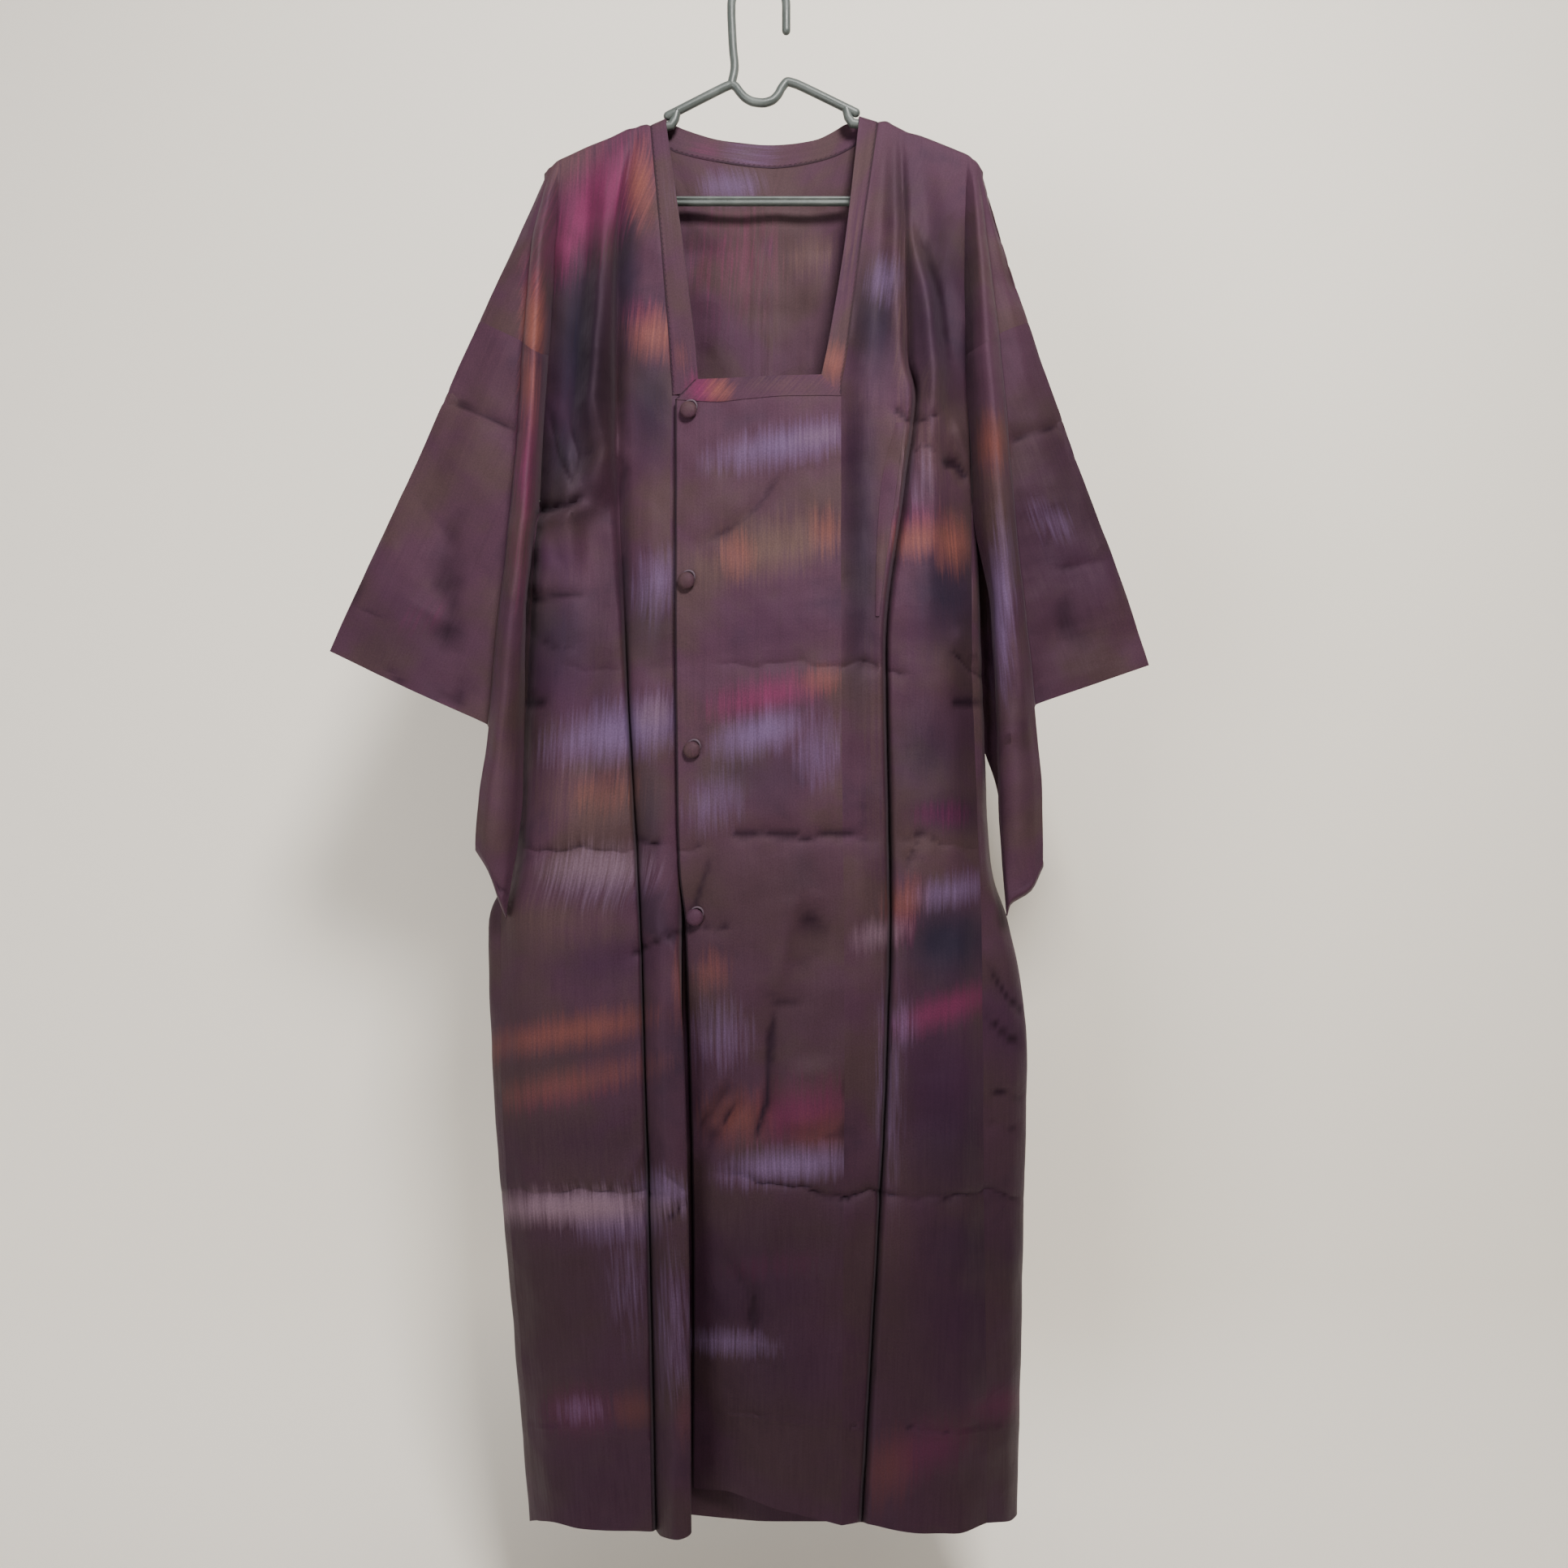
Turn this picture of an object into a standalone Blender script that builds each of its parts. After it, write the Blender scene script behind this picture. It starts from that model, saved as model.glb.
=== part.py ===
"""Michiyuki coat hanging on a plastic hanger: cloth panels as thin walls, buttons and hanger.

Metres, +Z up. The origin is the inside top of the hanger's hook, and the coat's front faces -Y.
Right and left in the names are the wearer's: the wearer's right is at -X.
"""
import math

import bmesh
import bpy
import numpy as np
from mathutils import Vector
from mathutils.bvhtree import BVHTree

MM = 0.001
CLOTH_COLOUR = (0.12, 0.07, 0.11)
CLOTH_ROUGHNESS = 0.55
HANGER_COLOUR = (0.16, 0.19, 0.18)
HANGER_ROUGHNESS = 0.45

# Driving sizes, mm
WALL = 1.6
SEAM_GAP = 0.36
WELD = 0.02
ARM_RADIUS = 3.9
WRAP_RADIUS = 5.4
HOOK_RADIUS = 25.0
BUTTON_WIDTH = 15.0
BUTTON_HEIGHT = 7.0
BACK_DEPTH = 19.0
BACK_WAVE = 7.0
BACK_WAVES_PER_PANEL = 2.25
BACK_WAVE_GROWTH = 2.5
BACK_WAVE_LEAN = 0.6
BACK_SIDE_EASE = 5.0
BACK_HEM_RISE = 30.0
REAR_SHARE = 0.62
MITRE_LIMIT = 3.0
CROWN_LIMIT = 1.3
LEAN_LIMIT = 0.2

# Widths and heights in the tables are read in the hanger's plane from this point, mm
EYE_X, EYE_Y, EYE_Z = 23.0, -1112.0, -731.0

# Heights of the levels that every lengthwise fold passes, mm. None: the fold gives its own.
LEVELS = ("arm", "yoke", "chest", "lap", "underarm", "waist", "hip", "button", "knee", "shin", "hem")
HEIGHTS = (None, -240, -340, -377, -473, -606, -802, -862, -978, -1171, None)
ROWS_PER_LEVEL = (2, 2, 1, 2, 3, 3, 1, 2, 3, 3)
WRAP_ANGLES = (0, 32, 62)
# Steps across each piece, from each of its folds to the next
RIGHT_FRONT_STEPS = (2, 2, 2, 2, 1, 1, 2, 2, 1)
LEFT_FRONT_STEPS = (2, 2, 1, 1, 2, 2, 2)
CAP_STEPS = (2, 2, 1, 1, 1)
FLAP_STEPS = (2, 2, 1)
STRIP_STEPS = (1, 1, 1)
OVERLAP_OUTER_STEPS = (2, 3, 3)
OVERLAP_INNER_STEPS = (2, 3, 2)
GORE_STEP = 2
# The back's armhole edge at the arm, yoke, chest and lap: across on each side, and depth below
RIGHT_ARMHOLE = (-181, -186, -192, -195)
LEFT_ARMHOLE = (189, 188, 189, 190)
ARMHOLE_DEPTH = (5, 6, 7)
# How much of the turn round the arm is left at each fold of a shoulder cap, outer fold first
CAP_REACH = (0.0, 0.66, 0.82, 0.91, 0.97, 1.0)


class Fold:
    """A lengthwise fold line: where it lies across and in depth at each level, mm."""

    def __init__(self, name, top, foot, across, depth):
        self.name = name
        self.top = top
        self.foot = foot
        self.across = across
        self.depth = depth


# Wearer's right front, from the armhole in to the edge that the overlap is sewn to.
# Columns: arm, yoke, chest, lap, underarm, waist, hip, button, knee, shin, hem.
RIGHT_FRONT = (
    Fold("side", -163, -1402, (-181, -186, -192, -195, -200, -209, -221, -235, -235, -223, -202),
         (0, -2, -3, -3, -4, -12, -10, -12, -14, -14, -14)),
    Fold("hollow", -158, -1405, (-170, -175, -178, -180, -191, -198, -207, -215, -212, -202, -186),
         (0, -8, -9, -10, -22, -32, -30, -30, -30, -30, -32)),
    Fold("breast", -151, -1410, (-155, -158, -165, -168, -174, -172, -172, -174, -174, -169, -162),
         (0, -10, -10, -12, -40, -40, -40, -38, -38, -38, -40)),
    Fold("ridge", -143, -1413, (-135, -143, -148, -151, -156, -147, -141, -140, -139, -136, -134),
         (0, -28, -32, -33, -24, -38, -42, -44, -44, -42, -44)),
    Fold("lip", -135, -1413, (-118, -134, -135, -135, -135, -126, -115, -111, -108, -103, -98),
         (0, -22, -24, -23, -18, -34, -40, -42, -44, -44, -46)),
    Fold("fold", -134, -1411, (-112, -128, -129, -129, -127, -121, -111, -108, -104, -99, -94),
         (0, -8, -8, -8, -8, -20, -26, -27, -28, -28, -30)),
    Fold("roll_out", -132, -1417, (-107, -116, -118, -118, -116, -116, -106, -104, -101, -95, -89),
         (0, -20, -22, -23, -26, -38, -42, -44, -46, -46, -48)),
    Fold("roll_top", -131, -1420, (-102, -103, -100, -98, -96, -98, -91, -89, -85, -79, -75),
         (0, -24, -28, -29, -34, -44, -50, -56, -60, -60, -64)),
    Fold("roll_in", -132, -1413, (-98, -89, -81, -79, -81, -79, -74, -75, -69, -64, -62),
         (0, -25, -29, -31, -34, -38, -44, -52, -58, -58, -62)),
    Fold("tuck", -132, -1396, (-78, -72, -67, -64, -63, -63, -66, -70, -71, -68, -69),
         (0, -24, -30, -31, -33, -34, -33, -31, -20, -14, -6)),
)

# Wearer's left front, from the seam with the neckband and overlap out to the armhole.
LEFT_FRONT = (
    Fold("band", -129, -1407, (108, 93, 80, 75, 75, 75, 77, 78, 78, 77, 75),
         (0, -25, -32, -43, -46, -48, -50, -50, -50, -48, -48)),
    Fold("plain", -128, -1405, (115, 110, 104, 102, 100, 98, 101, 101, 100, 94, 84),
         (0, -18, -22, -30, -36, -43, -46, -46, -46, -45, -45)),
    Fold("lip", -132, -1404, (123, 124, 129, 137, 127, 111, 115, 115, 113, 104, 90),
         (0, -25, -29, -36, -40, -44, -44, -44, -44, -43, -43)),
    Fold("fold", -135, -1404, (129, 133, 136, 143, 131, 116, 119, 120, 117, 107, 94),
         (0, -14, -16, -18, -20, -26, -26, -26, -28, -28, -28)),
    Fold("crest", -138, -1406, (135, 140, 144, 149, 138, 121, 125, 125, 122, 113, 100),
         (0, -25, -30, -32, -34, -40, -44, -46, -48, -48, -50)),
    Fold("middle", -141, -1412, (146, 152, 156, 158, 158, 149, 152, 153, 152, 148, 140),
         (0, -28, -36, -37, -38, -40, -42, -44, -46, -46, -48)),
    Fold("furrow", -149, -1414, (167, 170, 171, 172, 174, 175, 178, 181, 183, 181, 178),
         (0, -12, -18, -18, -20, -30, -36, -40, -44, -44, -46)),
    Fold("side", -158, -1406, (189, 188, 189, 190, 194, 194, 201, 203, 204, 206, 208),
         (0, -3, -4, -4, -4, -12, -20, -24, -28, -30, -32)),
)

# Overlap on the wearer's left, which carries the buttons. Columns from lap to hem.
OVERLAP_OUTER = (
    Fold("edge", None, -1372, (-76, -76, -76, -73, -67, -63, -59, -60),
         (-38, -42, -47, -49, -44, -34, -26, -14)),
    Fold("button_line", None, -1375, (-38, -38, -37, -36, -35, -34, -33, -31),
         (-43, -46, -49, -52, -50, -43, -37, -25)),
    Fold("centre", None, -1391, (18, 16, 15, 14, 13, 13, 12, 11),
         (-44, -48, -51, -54, -53, -50, -46, -40)),
    Fold("seam", None, -1407, (75, 75, 75, 77, 78, 78, 77, 75),
         (-43, -46, -48, -50, -50, -50, -48, -48)),
)

# Overlap on the wearer's right, hidden behind the outer one but for a sliver at the hem.
OVERLAP_INNER = (
    Fold("seam", None, -1396, (-64, -63, -63, -66, -70, -71, -68, -69),
         (-31, -33, -34, -33, -31, -20, -14, -6)),
    Fold("near", None, -1400, (-40, -40, -40, -38, -36, -34, -32, -30),
         (-32, -35, -37, -38, -36, -28, -20, -7)),
    Fold("centre", None, -1403, (18, 18, 18, 17, 16, 15, 14, 12),
         (-33, -36, -39, -42, -40, -36, -31, -24)),
    Fold("edge", None, -1403, (62, 62, 62, 63, 64, 64, 64, 62),
         (-34, -37, -39, -41, -41, -40, -38, -37)),
)

# Side gores between a front and a back. Columns from underarm to hem.
RIGHT_GORE = (
    Fold("front", None, -1402, (-200, -209, -221, -235, -235, -223, -202),
         (-4, -12, -10, -12, -14, -14, -14)),
    Fold("edge", None, -1402, (-203, -214, -226, -246, -243, -228, -208),
         (2, 1, 2, 0, 0, 0, 0)),
    Fold("back", None, -1398, (-200, -208, -221, -230, -226, -214, -196),
         (8, 14, 16, 16, 17, 17, 17)),
)
LEFT_GORE = (
    Fold("front", None, -1406, (194, 194, 201, 203, 204, 206, 208),
         (-4, -12, -20, -24, -28, -30, -32)),
    Fold("bend", None, -1404, (197, 200, 208, 221, 234, 232, 228),
         (0, -5, -9, -14, -16, -17, -17)),
    Fold("edge", None, -1397, (198, 202, 211, 228, 244, 240, 235),
         (3, 4, 4, 2, 0, 0, 0)),
    Fold("back", None, -1396, (194, 197, 205, 217, 230, 228, 224),
         (8, 14, 16, 17, 17, 17, 17)),
)

# Shoulder cap of each body panel, outside its side fold: arm, yoke and armhole seam.
# Columns: name, across, height, depth.
RIGHT_CAP = (
    ("fold", (-195, -218, -254), (-175, -232, -309), (0, 0, 0)),
    ("flap", (-192, -212, -235), (-172, -236, -318), (0, -8, -10)),
    ("strip_root", (-190, -206, -215), (-170, -238, -328), (0, -11, -12)),
    ("strip_out", (-188, -206, -214), (-169, -239, -329), (0, -20, -27)),
    ("strip_top", (-186, -200, -206), (-167, -240, -335), (0, -26, -38)),
    ("strip_in", (-184, -193, -198), (-165, -240, -339), (0, -18, -28)),
)
LEFT_CAP = (
    ("fold", (204, 221, 245), (-173, -238, -311), (0, 0, 0)),
    ("flap", (201, 217, 232), (-169, -239, -315), (0, -8, -10)),
    ("strip_root", (199, 209, 219), (-166, -240, -321), (0, -11, -12)),
    ("strip_out", (197, 208, 218), (-164, -240, -323), (0, -20, -27)),
    ("strip_top", (194, 202, 208), (-162, -240, -328), (0, -26, -38)),
    ("strip_in", (192, 196, 197), (-160, -240, -335), (0, -18, -28)),
)

# Sleeves below the armhole seam. Columns: seam, underarm, elbow, cuff, low, tip.
# Each row: name, across, height, front depth, back depth. The first three folds end at the cuff,
# and the last two are the free edges at the front and at the back, which reaches behind the body.
RIGHT_SLEEVE = (
    ("fold", (-254, -309, -354, -391), (-309, -433, -530, -610), (0, 0, 0, 0), (0, 0, 0, 0)),
    ("flap", (-235, -266, -296, -320), (-318, -451, -556, -644), (-10, -12, -12, -10), (6, 9, 9, 8)),
    ("strip_root", (-215, -225, -238, -247), (-328, -469, -582, -677), (-12, -14, -14, -14),
     (7, 8, 8, 6)),
    ("strip_out", (-214, -224, -237, -246, -255, -258), (-329, -470, -583, -679, -745, -786),
     (-27, -32, -34, -34, -36, -33), (17, 16, 16, 11, -4, -22)),
    ("strip_top", (-206, -214, -227, -236, -243, -246), (-335, -471, -581, -682, -745, -806),
     (-38, -44, -46, -46, -46, -40), (24, 26, 24, 17, -6, -23)),
    ("strip_in", (-198, -207, -216, -223, -225, -236), (-339, -472, -580, -682, -745, -834),
     (-28, -34, -36, -37, -39, -39), (17, 20, 18, 11, -5, -13)),
    ("edge", (-192, -200, -213, -215, -216, -230), (-340, -473, -579, -682, -745, -848),
     (-3, -4, -14, -21, -27, -31), None),
    ("rear_edge", (-192, -200, -206, -223, -226, -230), (-340, -473, -579, -682, -745, -848),
     None, (6, 8, 18.5, 4, -10, -20)),
)
LEFT_SLEEVE = (
    ("fold", (245, 292, 328, 355), (-311, -444, -543, -623), (0, 0, 0, 0), (0, 0, 0, 0)),
    ("flap", (232, 263, 286, 303), (-315, -454, -559, -641), (-10, -12, -12, -10), (6, 9, 9, 8)),
    ("strip_root", (219, 232, 243, 252), (-321, -464, -573, -659), (-12, -14, -14, -14),
     (7, 8, 8, 6)),
    ("strip_out", (218, 231, 242, 251, 258, 259), (-323, -465, -573, -661, -745, -801),
     (-27, -32, -34, -34, -36, -33), (17, 16, 16, 11, 4, -16)),
    ("strip_top", (208, 220, 230, 239, 245, 248), (-328, -468, -573, -667, -745, -823),
     (-38, -44, -46, -46, -46, -40), (24, 26, 24, 17, 6, -17)),
    ("strip_in", (197, 208, 216, 219, 222, 229), (-335, -471, -573, -671, -745, -836),
     (-28, -34, -36, -37, -39, -39), (17, 20, 20, 14, 6, -13)),
    ("edge", (189, 194, 212, 217, 219, 226), (-340, -473, -573, -672, -745, -846),
     (-4, -4, -8, -14, -22, -31), None),
    ("rear_edge", (189, 194, 201, 200, 219, 226), (-340, -473, -573, -672, -745, -846),
     None, (6, 8, 18, 19.5, 2, -19)),
)
SLEEVE_ROWS = (3, 3, 3, 2, 3)
SLEEVE_TIP_DROP = 5.0
# How far the sleeve's free edge stands off the body where the armhole ends: out, forward, up
UNDERARM_STEP = (3.2, -2.0, 0.0)

# Free edge of the neckband where it runs down each front: across, height and depth, mm
RIGHT_BAND_EDGE = ((-84, -126, 0), (-69, -240, -27), (-57, -340, -33), (-54.5, -373, -36))
LEFT_BAND_EDGE = ((91, -124, 0), (78, -240, -27), (61, -340, -34), (57, -358, -43))
# The neck seam and the neckband's upper edge round the back, from the right to the left.
# The points at each end lie behind the hanger's arm.
NECK_SEAM = ((-97, -134.5, 5.6), (-92, -143, 9.5), (-79, -154, 12), (-33, -165, 16),
             (13, -170, 18), (58, -163, 16), (84, -152, 12), (99, -141, 9.5), (107, -131.5, 5.6))
NECK_EDGE = ((-83.5, -128, 5.6), (-80.5, -130, 10), (-75, -132, 13), (-33, -145, 17),
             (13, -149, 19), (50, -145, 17), (79, -130, 13), (87, -128, 10), (90.5, -126, 5.6))
NECK_STEPS = (1, 1, 2, 2, 2, 2, 1, 1)
# The neckband across the top of the outer overlap: height of its seam and of its free edge
FRONT_BAND = ((-76, -381, -38), (-38, -382, -43), (18, -378, -44), (75, -377, -43))
FRONT_BAND_EDGE = ((-58, -362, -39.5), (-30, -361, -43.5), (16, -359, -44), (57, -358, -43))

# Band along the pocket mouth on the wearer's left front: height, left edge, right edge
POCKET = (
    (-402, 125.0, 132.5),
    (-438, 115.5, 128.5),
    (-472, 110.3, 124.0),
    (-534, 107.1, 115.0),
    (-578, 106.6, 110.0),
)
POCKET_WALL = 1.0
POCKET_COLUMNS = 4
POCKET_ROWS = 2
ON_PANEL = 0.4

# Covered buttons, across and height
BUTTONS = ((-64, -391), (-66, -546), (-61, -700), (-58, -852))
# A button's outline from its seat to its crown: share of its half width, mm off the cloth
BUTTON_OUTLINE = ((0.45, 0.0), (0.45, 1.2), (0.90, 1.6), (1.0, 2.8), (0.93, 4.4), (0.74, 5.8),
                  (0.42, 6.7))
BUTTON_SIDES = 16
BUTTON_SEAT = 4.0

# Hanger, in its own plane, mm
HOOK_THICK = 3.9
HOOK_DROP = -44.0
HOOK_STEM = ((-25.0, -31.0), (-23.5, -60.0), (-22.0, -77.0))
CROWN = ((-83.0, -122.0), (-30.0, -95.2), (-25.0, -93.4), (-21.2, -95.2), (-17.6, -99.8),
         (-12.0, -105.6), (-4.2, -109.2), (3.6, -110.0), (11.4, -108.0), (17.2, -102.8),
         (21.4, -95.6), (26.4, -90.8), (33.0, -92.4), (88.5, -119.0))
CROWN_PEAK = 2
RIGHT_STRUT = ((-74.6, -117.6), (-76.4, -125.0), (-79.6, -130.2))
LEFT_STRUT = ((79.4, -114.8), (81.6, -123.4), (85.4, -128.6))
# Turn at the arm's end, down to the bar: outward mm, and share of the drop to the bar
END_TURN = ((0.0, 0.0), (5.0, 0.14), (6.6, 0.33), (5.8, 0.60), (2.6, 0.84), (-2.5, 0.98),
            (-8.0, 1.0), (-12.0, 1.0))
END_SETBACK = 12.0
END_LOWER = 3.0
BAR_HEIGHT = -199.7
BAR_TALL = 4.2
BAR_DEEP = 3.2
ROUND_SIDES = 10
ARCH_STEPS = 12
BEND_LIMIT = 0.5


def seen(across, height, depth):
    """A point read in the hanger's plane, carried along its sight line to its own depth."""
    share = (depth - EYE_Y) / -EYE_Y
    return (EYE_X + (across - EYE_X) * share, depth, EYE_Z + (height - EYE_Z) * share)


def unseen(x, z, depth):
    """How a point at a depth reads in the hanger's plane: its width and height there."""
    share = (depth - EYE_Y) / -EYE_Y
    return (EYE_X + (x - EYE_X) / share, EYE_Z + (z - EYE_Z) / share)


def glide(knots, values, at):
    """A smooth curve through values that never swings past them."""
    knots = np.asarray(knots, float)
    values = np.asarray(values, float)
    at = np.clip(np.asarray(at, float), knots[0], knots[-1])
    if len(knots) == 2:
        return np.interp(at, knots, values)
    step = np.diff(knots)
    rise = np.diff(values) / step
    slope = np.zeros(len(knots))
    for i in range(1, len(knots) - 1):
        if rise[i - 1] * rise[i] > 0:
            before = 2 * step[i] + step[i - 1]
            after = step[i] + 2 * step[i - 1]
            slope[i] = (before + after) / (before / rise[i - 1] + after / rise[i])
    slope[0], slope[-1] = rise[0], rise[-1]
    cell = np.clip(np.searchsorted(knots, at, side="right") - 1, 0, len(step) - 1)
    t = (at - knots[cell]) / step[cell]
    h = step[cell]
    return (values[cell] * (1 + 2 * t) * (1 - t) ** 2 + slope[cell] * h * t * (1 - t) ** 2
            + values[cell + 1] * t * t * (3 - 2 * t) + slope[cell + 1] * h * t * t * (t - 1))


def stations(counts):
    """Positions along a row of knots: counts[i] even steps between knot i and the next."""
    out = [0.0]
    for i, count in enumerate(counts):
        out += [i + (k + 1) / count for k in range(count)]
    return out


def fold_lines(folds, first):
    """Each fold's across, height and depth at every row from level `first` to the hem."""
    at = stations(ROWS_PER_LEVEL[first:])
    knots = list(range(len(LEVELS) - first))
    lines = []
    for fold in folds:
        across, depth = list(fold.across), list(fold.depth)
        heights = list(HEIGHTS[first:])
        heights[-1] = fold.foot
        if first == 0:
            depth[0] = -WRAP_RADIUS
            across[0], heights[0] = unseen(across[0], fold.top - WRAP_RADIUS, depth[0])
        lines.append([glide(knots, row, at) for row in (across, heights, depth)])
    return np.array(lines)


def spread(lines, counts):
    """Points across the folds, `counts` steps from each to the next, for every row."""
    at = stations(counts)
    knots = list(range(len(lines)))
    rows = lines.shape[2]
    grid = np.zeros((rows, len(at), 3))
    for row in range(rows):
        across, height, depth = (glide(knots, lines[:, k, row], at) for k in range(3))
        grid[row] = np.array([seen(a, h, d) for a, h, d in zip(across, height, depth)])
    return grid


def wrap_rows(arm_row):
    """Rows from the top of the hanger's arm down to its side, for the row at its side."""
    rows = []
    for angle in WRAP_ANGLES:
        turn = math.radians(angle)
        row = arm_row.copy()
        row[:, 1] = arm_row[:, 1] * math.sin(turn)
        row[:, 2] = arm_row[:, 2] + WRAP_RADIUS * math.cos(turn)
        rows.append(row)
    return rows


def front_panel(folds, steps):
    """A body front from the top of the hanger's arm to the hem."""
    grid = spread(fold_lines(folds, 0), steps)
    return np.array(wrap_rows(grid[0]) + list(grid))


def back_panel(front_top, side, neck, hand):
    """A body back: the same shoulder points as the front, then soft waves down to the hem.

    front_top is the front's rows round the arm, side the back's side line, neck the points of
    the neck seam from the shoulder to the centre, and hand is -1 on the wearer's right.
    """
    shoulder = len(front_top[0])
    columns = shoulder + len(neck)
    start = len(WRAP_ANGLES)
    rows = start + len(side)
    grid = np.zeros((rows, columns, 3))
    share = np.linspace(0.0, 1.0, columns)
    centre = neck[-1]
    for row in range(start):
        grid[row, :shoulder] = front_top[row] * (1, -1, 1)
    yoke = start + ROWS_PER_LEVEL[0]
    for row in range(start, rows):
        down = (row - start) / (len(side) - 1)
        edge = side[row - start]
        for column in range(columns):
            s = share[column]
            swing = (BACK_WAVE * min(1.0, down * BACK_WAVE_GROWTH)
                     * math.sqrt(max(0.0, math.sin(math.pi * s))))
            phase = 2 * math.pi * BACK_WAVES_PER_PANEL * s + hand * BACK_WAVE_LEAN
            flat = edge[1] + (BACK_DEPTH - edge[1]) * min(1.0, BACK_SIDE_EASE * s)
            across = edge[0] + (centre[0] - edge[0]) * s
            height = edge[2] + BACK_HEM_RISE * down ** 3 * s
            grid[row, column] = (across, flat + swing * math.sin(phase), height)
    # From the arm to the yoke the back eases from the shoulder's points to the waves
    arm = front_top[-1] * (1, -1, 1)
    for row in range(start, yoke):
        t = (row - start) / (yoke - start)
        for column in range(shoulder):
            grid[row, column] = arm[column] * (1 - t) + grid[yoke, column] * t
    # Under the neck seam the rows stay level with those over the arm beside it
    beside = grid[:yoke + 1, shoulder - 1, 2]
    for column in range(shoulder, columns):
        for row in range(yoke):
            t = (beside[row] - beside[0]) / (beside[yoke] - beside[0])
            grid[row, column] = neck[column - shoulder] * (1 - t) + grid[yoke, column] * t
    return grid


def cap_grid(rows_table, side_column, front):
    """The shoulder cap outside the side fold, from the arm's end down to the armhole seam."""
    count = sum(ROWS_PER_LEVEL[:2])
    at = stations(ROWS_PER_LEVEL[:2])
    lines = []
    for reach, (_, across, height, depth) in zip(CAP_REACH, rows_table):
        if not front:
            depth = [-REAR_SHARE * out for out in depth]
        depths = [-WRAP_RADIUS * reach * (1 if front else -1)] + list(depth[1:])
        top = unseen(across[0], height[0] - WRAP_RADIUS, depths[0])
        columns = ((top[0], *across[1:]), (top[1], *height[1:]), depths)
        lines.append([glide((0, 1, 2), row, at) for row in columns])
    lines = np.array(lines)
    grid = spread(lines, CAP_STEPS)
    grid = np.array(wrap_rows(grid[0]) + list(grid))
    edge = side_column[:len(WRAP_ANGLES) + count + 1]
    return np.concatenate([grid, edge[:, None, :]], axis=1)


def sleeve_grids(table, front_side, back_side, front_cap, back_cap, hand_step):
    """A sleeve's flap and strip, front and back, below the armhole seam."""
    at = stations(SLEEVE_ROWS)
    flap_at = stations(SLEEVE_ROWS[:3])
    knots = list(range(len(SLEEVE_ROWS) + 1))
    grids = {}
    seam_row = len(WRAP_ANGLES) + sum(ROWS_PER_LEVEL[:2])
    shared = sum(ROWS_PER_LEVEL[2:4])
    for face, depth_column, side, cap, way in (("front", 3, front_side, front_cap, 1),
                                               ("back", 4, back_side, back_cap, -1)):
        flap = np.array([[glide(knots[:4], row[k][:4], flap_at) for k in (1, 2, depth_column)]
                         for row in table[:4]])
        strip = np.array([[glide(knots, row[k], at) for k in (1, 2, depth_column)]
                          for row in (*table[3:6], table[6 if face == "front" else 7])])
        flap = spread(flap, FLAP_STEPS)
        strip = spread(strip, STRIP_STEPS)
        flap[:, -1] = strip[:len(flap), 0]
        # The first row is the cap's last, and the armhole edge is the body's down to the underarm
        cap_row = cap[-1]
        flap[0] = cap_row[:flap.shape[1]]
        strip[0] = cap_row[flap.shape[1] - 1:]
        strip[:shared, -1] = side[seam_row:seam_row + shared]
        strip[shared, -1] = side[seam_row + shared] + np.array(hand_step) * (1, way, 1)
        grids[face] = (flap, strip)
    tip = (grids["front"][1][-1] + grids["back"][1][-1]) / 2
    tip[:, 2] -= SLEEVE_TIP_DROP
    grids["tip"] = tip
    return grids


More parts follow.
